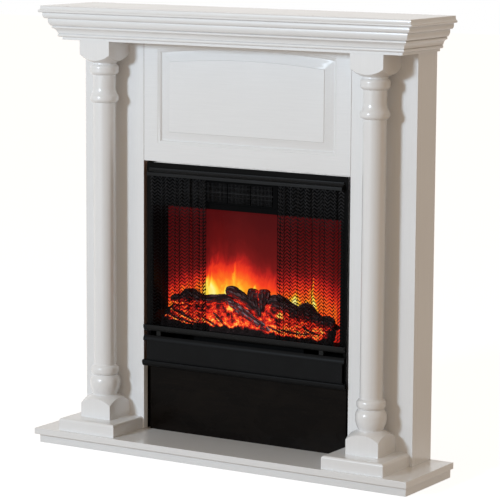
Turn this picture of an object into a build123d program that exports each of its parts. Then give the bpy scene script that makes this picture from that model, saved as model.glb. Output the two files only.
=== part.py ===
from build123d import *
import math
import os

# Electric fireplace suite: a white lacquered timber surround with a slim inset fire.
# Frame: +Z up, the front faces -Y, the origin is the middle of the hearth's underside.
# All sizes are millimetres.

# ---- whole suite ----
HEIGHT = 1042.0
HEARTH_WIDTH = 1006.0
DEPTH = 226.0
FRONT = -DEPTH / 2
BACK = DEPTH / 2

# ---- hearth ----
HEARTH_TOP_THICK = 15.0
HEARTH_BASE_HEIGHT = 21.0
HEARTH_STEP_SIDE = 7.0
HEARTH_STEP_FRONT = 12.5
SHADOW_GROOVE = 3.0
SHADOW_GROOVE_DEPTH = 8.0
HEARTH_Z = HEARTH_BASE_HEIGHT + HEARTH_TOP_THICK

# ---- boards of the surround ----
BOARD = 16.0
FACE_Y = 22.3
FACE_BACK_Y = FACE_Y + BOARD
BODY_HALF = 446.0
SIDE_HALF = BODY_HALF - 1.0
OPENING_HALF = 278.7
FRIEZE_Z = 681.0
SOFFIT_Z = 965.5
SEAM_CHAMFER = 0.8
PANEL_HALF = 240.0
GROOVE_DEPTH = 8.0

# ---- crown and mantel ----
CROWN_Z = 962.0
CROWN_HALF = 451.5
CROWN_FRONT_Y = -63.0
CROWN_BACKING = 14.0
CROWN_REACH = 33.0
MANTEL_Z = 1025.5
MANTEL_HALF = 489.0
MANTEL_FRONT_Y = -98.0
MANTEL_LIP = 4.5
SOFFIT_THICK = 15.0

# ---- columns and plinths ----
COLUMN_X = 362.0
COLUMN_STOCK = 83.0
COLUMN_Y = FACE_Y - COLUMN_STOCK / 2
SHAFT_R = 26.3
DOME_R = 81.0
PLINTH_INNER = 281.5
PLINTH_OUTER = 438.5
PLINTH_FRONT_Y = -102.0
PLINTH_HEIGHT = 30.0
PLINTH_ROUND = 7.0
PLINTH_Z = HEARTH_Z + PLINTH_HEIGHT

# ---- lower board and insert shelf ----
LOWER_BOARD_HALF = 268.5
LOWER_BOARD_Y = 33.5
SHELF_Z = 190.0

# ---- metal case of the inset fire ----
SHEET = 1.5
FRAME_Y = 24.9
FRAME_THICK = 2.0
CASE_Y = FRAME_Y + FRAME_THICK
CASE_BACK_Y = 106.5
CASE_HALF = 264.0
CASE_TOP_Z = 676.0
FRAME_HALF = 271.7
FRAME_TOP_Z = 678.0
FRAME_BOTTOM_Z = 193.5
WINDOW_HALF = 254.0
WINDOW_Z = 291.0
WINDOW_TOP_Z = 652.0
SLOT_TOP_Z = 277.0
DOOR_CUT_HALF = 266.0
DOOR_CUT_Z = 198.5

# ---- hood, fender and curtain rod ----
HOOD_HALF = 263.0
HOOD_NOSE_Y = 11.0
HOOD_TOP_Z = 665.0
HOOD_BOTTOM_Z = 647.5
FENDER_HALF = 273.0
FENDER_Y = 10.5
FENDER_TOP_Z = 291.5
TAB_X = (-233.0, 211.0)
TAB_WIDTH = 11.5
ROD_Y = 19.5
ROD_Z = 652.1
ROD_R = 1.8
RING_R = 2.6
RING_WIRE = 0.7

# ---- mesh curtains ----
CURTAIN_TOP_Z = 647.0
CURTAIN_BOTTOM_Z = 285.0
LEFT_CURTAIN = (-257.0, -104.5)
RIGHT_CURTAIN = (92.5, 265.0)
LEAD_WIDTH = 3.0
LEAD_DEPTH = 6.0
PLEAT_PITCH = 12.5
PLEAT_SWING = 2.9
MESH_THICK = 1.0

# ---- flip-down control door ----
DOOR_HALF = 266.0
DOOR_FACE_Y = 15.5
DOOR_TOP_Z = 266.5
DOOR_BOTTOM_Z = 192.5
TOP_RAIL_HALF = 273.0
TOP_RAIL_Z = 253.7
BOTTOM_RAIL_HALF = 275.0
BOTTOM_RAIL_TOP_Z = 207.0
HINGE_Y = 19.0
HINGE_Z = 197.0
PIN_R = 1.5
RUNNING_GAP = 0.05

# ---- firebox ----
FLOOR_Z = 289.0
FASCIA_Y = 29.5
FASCIA_Z = 579.0
FASCIA_LIP_TOP_Z = 590.0
OUTLET_X = (-176.0, 72.0)
OUTLET_Z = (594.0, 640.0)
SCREEN_Y = 69.5
SCREEN_THICK = 2.5
SCREEN_HALF = 240.0
SCREEN_TOP_Z = 577.0

# ---- logs ----
LOG_SIDES = 7

# ---- flame spindle ----
SPINDLE_Y = 91.0
SPINDLE_Z = 326.0
SPINDLE_R = 2.0
FLAG_REACH = 11.0
BRACKET_X = 236.0

# ---- fan heater ----
WHEEL_Y = 80.0
WHEEL_Z = 648.0
WHEEL_R = 19.0
WHEEL_X = (-168.0, 60.0)

# ---- controls behind the door ----
PANEL_Y = 42.0
PANEL_X = (-150.0, 150.0)
SWITCH_X = (-100.0, -60.0)
SWITCH_Z = 232.0
SWITCH_WIDTH = 15.0
ROCKER_R = 12.0
ROCKER_Y = PANEL_Y + 2.0
SWITCH_THROW = 12.0
KNOB_X = (30.0, 95.0)
KNOB_Z = 232.0
KNOB_R = 14.0

# ---- rear fixings ----
GLAND_X = -200.0
GLAND_Z = 222.0
GLAND_BORE_R = 3.6
WALL_BRACKET_X = 380.0
BRACKET_SCREW_X = (-8.0, 8.0)
WALL_HOLE_Z = 932.0
WALL_HOLE_R = 2.75


# ---------------------------------------------------------------- helpers


def block(x, y, z):
    size = (x[1] - x[0], y[1] - y[0], z[1] - z[0])
    centre = ((x[0] + x[1]) / 2, (y[0] + y[1]) / 2, (z[0] + z[1]) / 2)
    return Pos(*centre) * Box(*size)


def centred_block(half, y, z):
    return block((-half, half), y, z)


def rod_along_x(x, y, z, radius):
    middle = Pos((x[0] + x[1]) / 2, y, z)
    return middle * Rot(0, 90, 0) * Cylinder(radius, x[1] - x[0])


def rod_along_y(x, y, z, radius):
    middle = Pos(x, (y[0] + y[1]) / 2, z)
    return middle * Rot(90, 0, 0) * Cylinder(radius, y[1] - y[0])


def face_of(*edges):
    return make_face(Curve() + list(edges))


def along_x(face, x0, x1):
    """Extrudes a face drawn as (y, z) from x0 to x1."""
    return extrude(Plane.YZ.offset(x0) * face, amount=x1 - x0)


def along_y(face, y0, y1):
    """Extrudes a face drawn as (x, z) from y0 to y1."""
    return extrude(Plane.XZ.offset(-y1) * face, amount=y1 - y0)


def polygon(*points):
    return make_face(Polyline(*points, close=True))


def other_side(shape):
    return mirror(shape, about=Plane.YZ)


def both_sides(shape):
    return [shape, other_side(shape)]


# ---------------------------------------------------------------- surround


def hearth_base():
    """Lower hearth board, with a shadow groove round its top edge."""
    half = HEARTH_WIDTH / 2 - HEARTH_STEP_SIDE
    front = FRONT + HEARTH_STEP_FRONT
    groove_z = HEARTH_BASE_HEIGHT - SHADOW_GROOVE
    board = centred_block(half, (front, BACK), (0, groove_z))
    neck_half = half - SHADOW_GROOVE_DEPTH
    neck_front = front + SHADOW_GROOVE_DEPTH
    return board + centred_block(neck_half, (neck_front, BACK), (groove_z, HEARTH_BASE_HEIGHT))


def hearth_top():
    board = centred_block(HEARTH_WIDTH / 2, (FRONT, BACK), (HEARTH_BASE_HEIGHT, HEARTH_Z))
    front_edges = board.edges().filter_by(Axis.X).group_by(Axis.Y)[0]
    side_edges = board.edges().filter_by(Axis.Y)
    return fillet(front_edges + side_edges, 1.2)


def pilaster():
    """Right-hand upright face board."""
    board = block((OPENING_HALF, BODY_HALF), (FACE_Y, FACE_BACK_Y), (HEARTH_Z, SOFFIT_Z))
    upright = board.edges().filter_by(Axis.Z).group_by(Axis.Y)[0]
    return chamfer(upright, SEAM_CHAMFER)


def side_boards():
    """The two sides, set in a little from the face boards' edges."""
    right = block((SIDE_HALF - BOARD, SIDE_HALF), (FACE_BACK_Y, BACK), (HEARTH_Z, SOFFIT_Z))
    seam = right.edges().filter_by(Axis.Z).group_by(Axis.Y)[0].sort_by(Axis.X)[-1]
    return both_sides(chamfer(seam, SEAM_CHAMFER))


def arched_face(half, bottom, spring, crest, y):
    """A panel outline with a low segmental arch, standing in the plane at y."""
    sides = Polyline((-half, spring), (-half, bottom), (half, bottom), (half, spring))
    arch = ThreePointArc((half, spring), (0, crest), (-half, spring))
    return Plane.XZ.offset(-y) * face_of(sides, arch)


def frieze_panel():
    """Board over the fire, routed with an arched fielded panel."""
    board = centred_block(OPENING_HALF, (FACE_Y, FACE_BACK_Y), (FRIEZE_Z, SOFFIT_Z))
    upright = board.edges().filter_by(Axis.Z).group_by(Axis.Y)[0]
    board = chamfer(upright, SEAM_CHAMFER)
    deep = FACE_Y + GROOVE_DEPTH
    rim = arched_face(PANEL_HALF, 723, 943, 956, FACE_Y)
    bead_top = arched_face(PANEL_HALF - 1.2, 724.2, 941.8, 954.8, FACE_Y + 1.4)
    bead_side = arched_face(PANEL_HALF - 5.6, 728.6, 937.6, 950.6, FACE_Y + 3.6)
    groove = arched_face(PANEL_HALF - 8.0, 731, 935.5, 948.5, deep)
    hollow = arched_face(PANEL_HALF - 18.0, 741, 926, 938.0, FACE_Y + 5.0)
    field_foot = arched_face(PANEL_HALF - 31.0, 751, 915.5, 926.0, FACE_Y + 1.6)
    field = arched_face(PANEL_HALF - 32.0, 752, 914.5, 925.0, FACE_Y)
    recess = loft([rim, bead_top], ruled=True)
    recess = recess + loft([bead_top, bead_side], ruled=True)
    recess = recess + loft([bead_side, groove], ruled=True)
    fielded = loft([groove, hollow], ruled=True)
    fielded = fielded + loft([hollow, field_foot], ruled=True)
    fielded = fielded + loft([field_foot, field], ruled=True)
    return board - recess + fielded


def crown_edge(reach_of):
    """The crown's moulded outline, from bottom to top, as edges.

    reach_of turns a projection and a height into a point of the section."""
    return [
        Line(reach_of(0, CROWN_Z), reach_of(0, 968.2)),
        Line(reach_of(0, 968.2), reach_of(4.2, 968.8)),
        ThreePointArc(reach_of(4.2, 968.8), reach_of(8.0, 972.6), reach_of(5.4, 976.4)),
        Line(reach_of(5.4, 976.4), reach_of(8.0, 977.0)),
        ThreePointArc(reach_of(8.0, 977.0), reach_of(10.4, 984.4), reach_of(14.6, 988.6)),
        ThreePointArc(reach_of(14.6, 988.6), reach_of(18.0, 991.6), reach_of(15.4, 994.4)),
        Line(reach_of(15.4, 994.4), reach_of(19.0, 995.2)),
        ThreePointArc(reach_of(19.0, 995.2), reach_of(23.6, 1002.4), reach_of(24.0, 1011.4)),
        Line(reach_of(24.0, 1011.4), reach_of(29.4, 1012.4)),
        ThreePointArc(reach_of(29.4, 1012.4), reach_of(32.6, 1016.6), reach_of(CROWN_REACH, 1023.0)),
        Line(reach_of(CROWN_REACH, 1023.0), reach_of(CROWN_REACH, MANTEL_Z)),
    ]


def ringed_solid(edge, half, front_y, top_z, bottom_z):
    """A slab whose moulded edge runs along the front and both sides, mitred."""

    def front_point(reach, z):
        return (front_y - reach, z)

    def right_point(reach, z):
        return (half + reach, z)

    def left_point(reach, z):
        return (-half - reach, z)

    top_reach = edge(front_point)[-1] @ 1
    low_reach = edge(front_point)[0] @ 0
    closing = Polyline((top_reach.X, top_z), (BACK, top_z), (BACK, bottom_z), (low_reach.X, bottom_z))
    lengthwise = along_x(face_of(*edge(front_point), closing), -half - 60, half + 60)
    right_top = edge(right_point)[-1] @ 1
    right_low = edge(right_point)[0] @ 0
    lid = Line((right_top.X, top_z), (-right_top.X, top_z))
    floor = Line((right_low.X, bottom_z), (-right_low.X, bottom_z))
    section = face_of(*edge(right_point), lid, *edge(left_point), floor)
    return lengthwise & along_y(section, front_y - 60, BACK)


def crown_ring():
    """Crown mould all round, rebated underneath to drop over the columns and face boards."""
    slab = ringed_solid(crown_edge, CROWN_HALF, CROWN_FRONT_Y, MANTEL_Z, CROWN_Z)
    inner = CROWN_HALF - CROWN_BACKING
    backing_y = CROWN_FRONT_Y + CROWN_BACKING
    hollow = centred_block(inner, (backing_y, BACK + 1), (CROWN_Z - 1, MANTEL_Z + 1))
    column_front = COLUMN_Y - COLUMN_STOCK / 2
    rebate = centred_block(BODY_HALF, (column_front, BACK + 1), (CROWN_Z - 1, SOFFIT_Z))
    return slab - hollow - rebate


def crown_front(ring):
    reach = CROWN_REACH + 5
    outer = (CROWN_HALF + reach, CROWN_FRONT_Y - reach)
    inner = (CROWN_HALF - CROWN_BACKING, CROWN_FRONT_Y + CROWN_BACKING)
    plan = polygon(outer, inner, (-inner[0], inner[1]), (-outer[0], outer[1]))
    return ring & Pos(0, 0, CROWN_Z - 1) * extrude(plan, amount=MANTEL_Z - CROWN_Z + 2)


def crown_returns(ring):
    """The two returns along the sides, mitred to the front at its corners."""
    reach = CROWN_REACH + 5
    outer = (CROWN_HALF + reach, CROWN_FRONT_Y - reach)
    inner = (CROWN_HALF - CROWN_BACKING, CROWN_FRONT_Y + CROWN_BACKING)
    plan = polygon(outer, (outer[0], BACK + 1), (inner[0], BACK + 1), inner)
    return both_sides(ring & Pos(0, 0, CROWN_Z - 1) * extrude(plan, amount=MANTEL_Z - CROWN_Z + 2))


def crown_soffit():
    half = CROWN_HALF - CROWN_BACKING
    front = CROWN_FRONT_Y + CROWN_BACKING
    return centred_block(half, (front, BACK), (SOFFIT_Z, SOFFIT_Z + SOFFIT_THICK))


def mantel_edge(reach_of):
    """Edge of the mantel shelf: a rounded lip below a plain face."""
    lip_foot = reach_of(0.5, MANTEL_Z + 0.8)
    lip_top = reach_of(1.8, MANTEL_Z + 7.0)
    return [
        Line(reach_of(-3.0, MANTEL_Z), lip_foot),
        ThreePointArc(lip_foot, reach_of(MANTEL_LIP, MANTEL_Z + 4.0), lip_top),
        ThreePointArc(lip_top, reach_of(0.5, MANTEL_Z + 10.0), reach_of(0, HEIGHT - 1.0)),
        Line(reach_of(0, HEIGHT - 1.0), reach_of(-1.0, HEIGHT)),
    ]


def mantel_top():
    return ringed_solid(mantel_edge, MANTEL_HALF, MANTEL_FRONT_Y, HEIGHT, MANTEL_Z)


def turned_profile():
    """Half section of the turned part of a column, radius against height."""
    neck = SHAFT_R
    return face_of(
        Line((0, 112.0), (27.6, 112.0)),
        Line((27.6, 112.0), (28.8, 121.6)),
        ThreePointArc((28.8, 121.6), (33.8, 134.0), (35.8, 147.0)),
        ThreePointArc((35.8, 147.0), (34.2, 159.4), (28.6, 167.6)),
        ThreePointArc((28.6, 167.6), (31.9, 171.4), (33.2, 176.8)),
        Line((33.2, 176.8), (33.2, 180.6)),
        ThreePointArc((33.2, 180.6), (31.9, 186.0), (28.2, 189.6)),
        Line((28.2, 189.6), (neck, 191.0)),
        Line((neck, 191.0), (neck, 816.4)),
        Line((neck, 816.4), (27.8, 817.0)),
        ThreePointArc((27.8, 817.0), (32.0, 820.2), (33.6, 826.0)),
        ThreePointArc((33.6, 826.0), (32.8, 832.4), (29.8, 837.6)),
        ThreePointArc((29.8, 837.6), (27.8, 843.0), (neck + 0.4, 852.0)),
        Line((neck + 0.4, 852.0), (neck + 0.4, 881.4)),
        Line((neck + 0.4, 881.4), (27.8, 882.0)),
        ThreePointArc((27.8, 882.0), (32.3, 885.6), (33.8, 892.4)),
        Line((33.8, 892.4), (33.8, 896.6)),
        ThreePointArc((33.8, 896.6), (32.3, 903.4), (28.4, 907.0)),
        Line((28.4, 907.0), (27.6, 918.0)),
        Line((27.6, 918.0), (0, 918.0)),
        Line((0, 918.0), (0, 112.0)),
    )


def column():
    """One post of square stock: a turned shaft between two square ends with domed shoulders."""
    half = COLUMN_STOCK / 2
    corner = half * math.sqrt(2)
    drop = math.sqrt(DOME_R**2 - corner**2)
    base_corner_z = 99.5
    cap_corner_z = 930.0
    base = block((-half, half), (-half, half), (PLINTH_Z, 122.0))
    base = base & Pos(0, 0, base_corner_z - drop) * Sphere(DOME_R)
    cap = block((-half, half), (-half, half), (908.0, SOFFIT_Z))
    cap = cap & Pos(0, 0, cap_corner_z + drop) * Sphere(DOME_R)
    shaft = revolve(Plane.XZ * turned_profile(), Axis.Z)
    return Pos(COLUMN_X, COLUMN_Y, 0) * (base + shaft + cap)


def column_dowels():
    """Glued beech dowels that locate each column on its plinth and under the soffit."""
    dowels = []
    for side in (-1, 1):
        for z in (PLINTH_Z, SOFFIT_Z):
            dowels.append(Pos(side * COLUMN_X, COLUMN_Y, z) * Cylinder(4.0, 24.0))
    return dowels


def plinth():
    body = block((PLINTH_INNER, PLINTH_OUTER), (PLINTH_FRONT_Y, FACE_Y), (HEARTH_Z, PLINTH_Z))
    top = body.faces().sort_by(Axis.Z)[-1]
    shown = top.edges().sort_by(Axis.Y)[:-1]
    return fillet(shown, PLINTH_ROUND)


def lower_board():
    y = (LOWER_BOARD_Y, LOWER_BOARD_Y + BOARD)
    board = centred_block(LOWER_BOARD_HALF, y, (HEARTH_Z, SHELF_Z))
    front = board.faces().sort_by(Axis.Y)[0]
    return chamfer(front.edges().filter_by(Axis.Z), SEAM_CHAMFER)


def insert_shelf():
    """Shelf between the cheeks that the fire's case stands on."""
    return centred_block(OPENING_HALF, (LOWER_BOARD_Y + BOARD, BACK - 1), (SHELF_Z - BOARD, SHELF_Z))


def opening_cheeks():
    """Boards on edge behind the face boards, one each side of the fire, that carry the shelf."""
    x = (OPENING_HALF, OPENING_HALF + BOARD)
    return both_sides(block(x, (FACE_BACK_Y, BACK - 1), (HEARTH_Z, FRIEZE_Z)))


def glue_blocks():
    """Identical softwood blocks: under the mantel, behind the lower board and in the corners."""
    size = 30.0
    tall = MANTEL_Z - SOFFIT_Z - SOFFIT_THICK
    low_x = LOWER_BOARD_HALF - 90
    corner_x = SIDE_HALF - BOARD - size
    places = [(x - size / 2, 0.0, SOFFIT_Z + SOFFIT_THICK) for x in (-390, -195, 0, 195, 390)]
    places += [(x - size / 2, LOWER_BOARD_Y + BOARD, HEARTH_Z) for x in (-low_x, low_x)]
    for side_x in (-corner_x - size, corner_x):
        places += [(side_x, FACE_BACK_Y, z) for z in (HEARTH_Z, 500.0, SOFFIT_Z - tall)]
    blocks = []
    for x, y, z in places:
        blocks.append(block((x, x + size), (y, y + size), (z, z + tall)))
    return blocks


def wall_brackets():
    """Steel angles under the soffit, drilled for the wall screws."""
    x = (WALL_BRACKET_X - 15, WALL_BRACKET_X + 15)
    leg = block(x, (BACK - 32, BACK), (SOFFIT_Z - 2, SOFFIT_Z))
    plate = block(x, (BACK - 2, BACK), (WALL_HOLE_Z - 14, SOFFIT_Z - 2))
    hole = rod_along_y(WALL_BRACKET_X, (BACK - 4, BACK + 2), WALL_HOLE_Z, WALL_HOLE_R)
    bracket = leg + plate - hole
    for screw_x in BRACKET_SCREW_X:
        bracket = bracket - Pos(WALL_BRACKET_X + screw_x, BACK - 20, SOFFIT_Z) * Cylinder(1.95, 10.0)
    return both_sides(bracket)


def hex_screw(shank_r, shank, head_r, head):
    """Screw pointing along +Z, with its six-sided head below the origin."""
    body = Cylinder(shank_r, shank, align=(Align.CENTER, Align.CENTER, Align.MIN))
    return body + Pos(0, 0, -head) * extrude(RegularPolygon(head_r, 6), amount=head)


def bracket_screws():
    screws = []
    for side in (-1, 1):
        for screw_x in BRACKET_SCREW_X:
            place = Pos(side * WALL_BRACKET_X + screw_x, BACK - 20, SOFFIT_Z - 2)
            screws.append(place * hex_screw(1.95, 13.0, 3.6, 2.2))
    return screws


# ---------------------------------------------------------------- case of the inset fire


def case_shell():
    """Wrapper of folded sheet: floor, sides and roof, with a lip for the front frame."""
    y = (CASE_Y, CASE_BACK_Y)
    inner = CASE_HALF - SHEET
    outer_box = centred_block(CASE_HALF, y, (SHELF_Z, CASE_TOP_Z))
    space = centred_block(inner, (CASE_Y - 1, CASE_BACK_Y + 1), (SHELF_Z + SHEET, CASE_TOP_Z - SHEET))
    lip = centred_block(CASE_HALF + 6.5, (CASE_Y, CASE_Y + SHEET), (DOOR_CUT_Z, CASE_TOP_Z))
    lip = lip - centred_block(inner, (CASE_Y - 1, CASE_Y + 4), (DOOR_CUT_Z - 1, CASE_TOP_Z - SHEET))
    return outer_box - space + lip


def case_screw_places():
    places = []
    for x in (-CASE_HALF + 9, 0, CASE_HALF - 9):
        places += [(x, SHELF_Z + 9), (x, CASE_TOP_Z - 9)]
    for x in (-CASE_HALF + 9, CASE_HALF - 9):
        places.append((x, (SHELF_Z + CASE_TOP_Z) / 2))
    return places


def case_back():
    """Rear cover with cooling slots, the gland hole and its screw holes."""
    panel = centred_block(CASE_HALF, (CASE_BACK_Y, CASE_BACK_Y + SHEET), (SHELF_Z, CASE_TOP_Z))
    through = (CASE_BACK_Y - 1, BACK)
    upper_rows = [606 + 14 * i for i in range(4)]
    lower_rows = [230 + 14 * i for i in range(2)]
    holes = []
    for x in (-120, -60, 0, 60, 120):
        for z in upper_rows + lower_rows:
            holes.append(block((x - 20, x + 20), through, (z, z + 3.0)))
    for x, z in case_screw_places():
        holes.append(rod_along_y(x, through, z, 1.5))
    holes.append(rod_along_y(GLAND_X, through, GLAND_Z, 6.5))
    return panel - holes


def case_screws():
    """Self-tapping screws that hold the rear cover, driven from behind."""
    screws = []
    for x, z in case_screw_places():
        place = Pos(x, CASE_BACK_Y + SHEET, z) * Rot(90, 0, 0)
        screws.append(place * hex_screw(1.45, 8.0, 3.0, 1.8))
    return screws


def cable_gland():
    """Rubber bush in the rear cover that the mains lead would come through."""
    section = face_of(
        Polyline(
            (GLAND_BORE_R, -7.0),
            (6.4, -7.0),
            (7.6, -SHEET - 0.05),
            (6.45, -SHEET - 0.05),
            (6.45, 0.05),
            (9.0, 0.05),
            (6.8, 3.4),
            (GLAND_BORE_R, 3.4),
            close=True,
        )
    )
    bush = revolve(Plane.XZ * section, Axis.Z)
    return Pos(GLAND_X, CASE_BACK_Y + SHEET, GLAND_Z) * Rot(-90, 0, 0) * bush


def hinge_lug():
    """Ear on the right of the front frame that carries the door's hinge pin."""
    x = (267.6, 269.6)
    nose = rod_along_x(x, HINGE_Y, HINGE_Z, 2.8)
    arm = block(x, (HINGE_Y, FRAME_Y), (HINGE_Z - 2.2, HINGE_Z + 2.2))
    hole = rod_along_x((x[0] - 1, x[1] + 1), HINGE_Y, HINGE_Z, PIN_R)
    return nose + arm - hole


def front_frame():
    """Black front plate: two stiles, a head band, a bar under the window and the door cut-out."""
    y = (FRAME_Y, CASE_Y)
    cut = (FRAME_Y - 1, CASE_Y + 1)
    plate = centred_block(FRAME_HALF, y, (FRAME_BOTTOM_Z, FRAME_TOP_Z))
    window = centred_block(WINDOW_HALF, cut, (WINDOW_Z, WINDOW_TOP_Z))
    doorway = centred_block(DOOR_CUT_HALF, cut, (DOOR_CUT_Z, SLOT_TOP_Z))
    plate = plate - window - doorway
    outer = plate.edges().filter_by(Axis.Z).group_by(Axis.Y)[0]
    plate = chamfer(outer, 0.6)
    return plate + both_sides(hinge_lug())


def hood_section(inset):
    """Hood outline as (y, z); inset 0 is the whole outline, more leaves the hollow."""
    nose = HOOD_NOSE_Y + inset
    return face_of(
        Line((FRAME_Y, HOOD_TOP_Z - inset), (FRAME_Y - 3.0, HOOD_TOP_Z - inset)),
        ThreePointArc(
            (FRAME_Y - 3.0, HOOD_TOP_Z - inset),
            (FRAME_Y - 6.5, HOOD_TOP_Z - 6.4 - inset),
            (nose + 2.4, HOOD_TOP_Z - 9.2 - inset),
        ),
        ThreePointArc(
            (nose + 2.4, HOOD_TOP_Z - 9.2 - inset),
            (nose + 0.6, HOOD_TOP_Z - 10.0 - inset),
            (nose, HOOD_TOP_Z - 11.8 - inset),
        ),
        Line((nose, HOOD_TOP_Z - 11.8 - inset), (nose, HOOD_BOTTOM_Z - inset)),
        Line((nose, HOOD_BOTTOM_Z - inset), (FRAME_Y, HOOD_BOTTOM_Z - inset)),
        Line((FRAME_Y, HOOD_BOTTOM_Z - inset), (FRAME_Y, HOOD_TOP_Z - inset)),
    )


def hood():
    """Moulded lintel over the window, hollow below, with closed ends that hold the rod."""
    body = along_x(hood_section(0), -HOOD_HALF, HOOD_HALF)
    hollow = along_x(hood_section(2.0), 2 - HOOD_HALF, HOOD_HALF - 2)
    return body - hollow


def fender():
    """Channel under the window: a coved lip, a floor and closed ends, with two slot spacers."""
    front = FENDER_Y
    outline = face_of(
        Polyline((FRAME_Y, SLOT_TOP_Z), (FRAME_Y, FENDER_TOP_Z), (front, FENDER_TOP_Z), (front, 288.0)),
        ThreePointArc((front, 288.0), (front + 1.6, 282.0), (front + 5.5, SLOT_TOP_Z)),
        Line((front + 5.5, SLOT_TOP_Z), (FRAME_Y, SLOT_TOP_Z)),
    )
    body = along_x(outline, -FENDER_HALF, FENDER_HALF)
    trough_z = (281.5, FENDER_TOP_Z + 1)
    trough = centred_block(FENDER_HALF - 2, (front + 2.2, FRAME_Y), trough_z)
    body = body - trough
    for x in TAB_X:
        span = (x - TAB_WIDTH / 2, x + TAB_WIDTH / 2)
        body = body + block(span, (front + 5.5, FRAME_Y), (DOOR_TOP_Z + 0.5, SLOT_TOP_Z))
    return body


def vent_fascia():
    """Plate over the flame, with the warm-air outlet, folded back along its lower edge."""
    inner = CASE_HALF - SHEET
    y = (FASCIA_Y, FASCIA_Y + SHEET)
    plate = centred_block(inner, y, (FASCIA_Z, CASE_TOP_Z - SHEET))
    lip = centred_block(WINDOW_HALF - 0.5, (FASCIA_Y - 2.0, FASCIA_Y), (FASCIA_Z, FASCIA_LIP_TOP_Z))
    fold = centred_block(inner, (FASCIA_Y, SCREEN_Y + SCREEN_THICK), (FASCIA_Z - SHEET, FASCIA_Z))
    outlet = block(OUTLET_X, (FASCIA_Y - 3, FASCIA_Y + 3), OUTLET_Z)
    seam_x = OUTLET_X[1] + 12
    seam = block((seam_x, seam_x + 1.2), (FASCIA_Y - 1, FASCIA_Y + 0.7), (FASCIA_LIP_TOP_Z, CASE_TOP_Z))
    pilot = rod_along_y(OUTLET_X[1] + 37, (FASCIA_Y - 3, FASCIA_Y + 3), 628, 1.6)
    return plate + lip + fold - outlet - seam - pilot


def outlet_grille():
    """Guard frame behind the outlet, with three uprights that stiffen its mesh."""
    y = (FASCIA_Y + SHEET, FASCIA_Y + SHEET + 1.2)
    frame = block((OUTLET_X[0] - 4, OUTLET_X[1] + 4), y, (OUTLET_Z[0] - 4, OUTLET_Z[1] + 4))
    frame = frame - block(OUTLET_X, (y[0] - 1, y[1] + 1), OUTLET_Z)
    bars = []
    for i in (1, 2, 3):
        x = OUTLET_X[0] + i * (OUTLET_X[1] - OUTLET_X[0]) / 4
        bars.append(block((x - 0.8, x + 0.8), y, (OUTLET_Z[0] - 1, OUTLET_Z[1] + 1)))
    return frame + bars


def side_liners():
    """Glossy black cheeks of the firebox, splayed towards the screen."""
    plan = polygon(
        (WINDOW_HALF + 0.3, CASE_Y + 1.7),
        (WINDOW_HALF + 1.8, CASE_Y + 1.7),
        (SCREEN_HALF + 2.0, SCREEN_Y),
        (SCREEN_HALF + 0.5, SCREEN_Y),
    )
    cheek = Pos(0, 0, FLOOR_Z) * extrude(plan, amount=FASCIA_Z - SHEET - FLOOR_Z)
    return both_sides(cheek)


def flame_screen():
    """Translucent back screen that the flame light plays on."""
    return centred_block(SCREEN_HALF + 2.0, (SCREEN_Y, SCREEN_Y + SCREEN_THICK), (FLOOR_Z, SCREEN_TOP_Z))


def firebox_floor():
    """Sheet across the case under the embers, with the spindle's end brackets."""
    inner = CASE_HALF - SHEET
    plate = centred_block(inner, (CASE_Y, CASE_BACK_Y), (FLOOR_Z - SHEET, FLOOR_Z))
    bracket = block((BRACKET_X, BRACKET_X + SHEET), (78.0, 104.0), (FLOOR_Z, SPINDLE_Z + 16))
    hole = rod_along_x((BRACKET_X - 2, BRACKET_X + 4), SPINDLE_Y, SPINDLE_Z, SPINDLE_R + RUNNING_GAP)
    return plate + both_sides(bracket - hole)


# ---------------------------------------------------------------- logs and embers


def fuel_log(stations):
    """A roughly hewn log: many-sided sections, each given as x, y, z, radius, joined straight."""
    sections = []
    for index, (x, y, z, radius) in enumerate(stations):
        before = stations[max(index - 1, 0)]
        after = stations[min(index + 1, len(stations) - 1)]
        heading = Vector(after[0] - before[0], after[1] - before[1], after[2] - before[2])
        across = Plane(origin=(x, y, z), x_dir=(0, 1, 0), z_dir=heading)
        sections.append(across * RegularPolygon(radius, LOG_SIDES))
    return loft(sections, ruled=True)


def log_left():
    ends = [(-214, 47, 338, 15), (-186, 46, 350, 20)]
    return fuel_log(ends + [(-150, 46, 361, 22), (-118, 47, 356, 20), (-94, 48, 346, 18)])


def log_front():
    """Long log that leans down across the bed from the middle to the right."""
    return fuel_log(
        [(-66, 50, 382, 10), (-42, 45, 370, 13), (12, 41, 348, 14), (78, 39, 336, 13), (140, 38, 326, 11)]
    )


def log_back():
    """Broken log standing behind the front one, its split end up."""
    return fuel_log([(-14, 60, 336, 8), (12, 60, 374, 8), (24, 60, 398, 7)]) - log_front()


def log_middle():
    whole = fuel_log(
        [(54, 56, 374, 10), (86, 56, 370, 12), (122, 55, 360, 13), (150, 54, 352, 14), (176, 56, 343, 12)]
    )
    return whole - log_right()


def log_right():
    return fuel_log([(172, 45, 337, 13), (196, 44, 333, 15), (222, 46, 326, 12)])


def ember_bed(logs):
    """Moulded bed of coals that rises to the screen, with a seat for each log."""
    half = SCREEN_HALF - 3.0
    front = CASE_Y + 2.4
    rear = SCREEN_Y - 0.5
    slope = [(front, 306), (36, 314), (48, 325), (60, 335), (rear, 338)]
    section = polygon((front, FLOOR_Z), *slope, (rear, FLOOR_Z))
    bed = along_x(section, -half, half)
    coals = []
    for i in range(26):
        x = -225 + i * 18
        y = 36 + 9 * (1 + math.sin(i * 2.4))
        z = 311 + (y - 32) * 0.72
        size = 9 + 3 * math.sin(i * 1.7)
        coals.append(Pos(x, y, z) * Rot(i * 41, i * 67, i * 29) * Box(size * 1.5, size, size * 1.1))
    bed = bed + coals
    return bed - logs


# ---------------------------------------------------------------- spark curtains


def curtain_rod():
    return rod_along_x((2 - HOOD_HALF, HOOD_HALF - 2), ROD_Y, ROD_Z, ROD_R)


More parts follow.
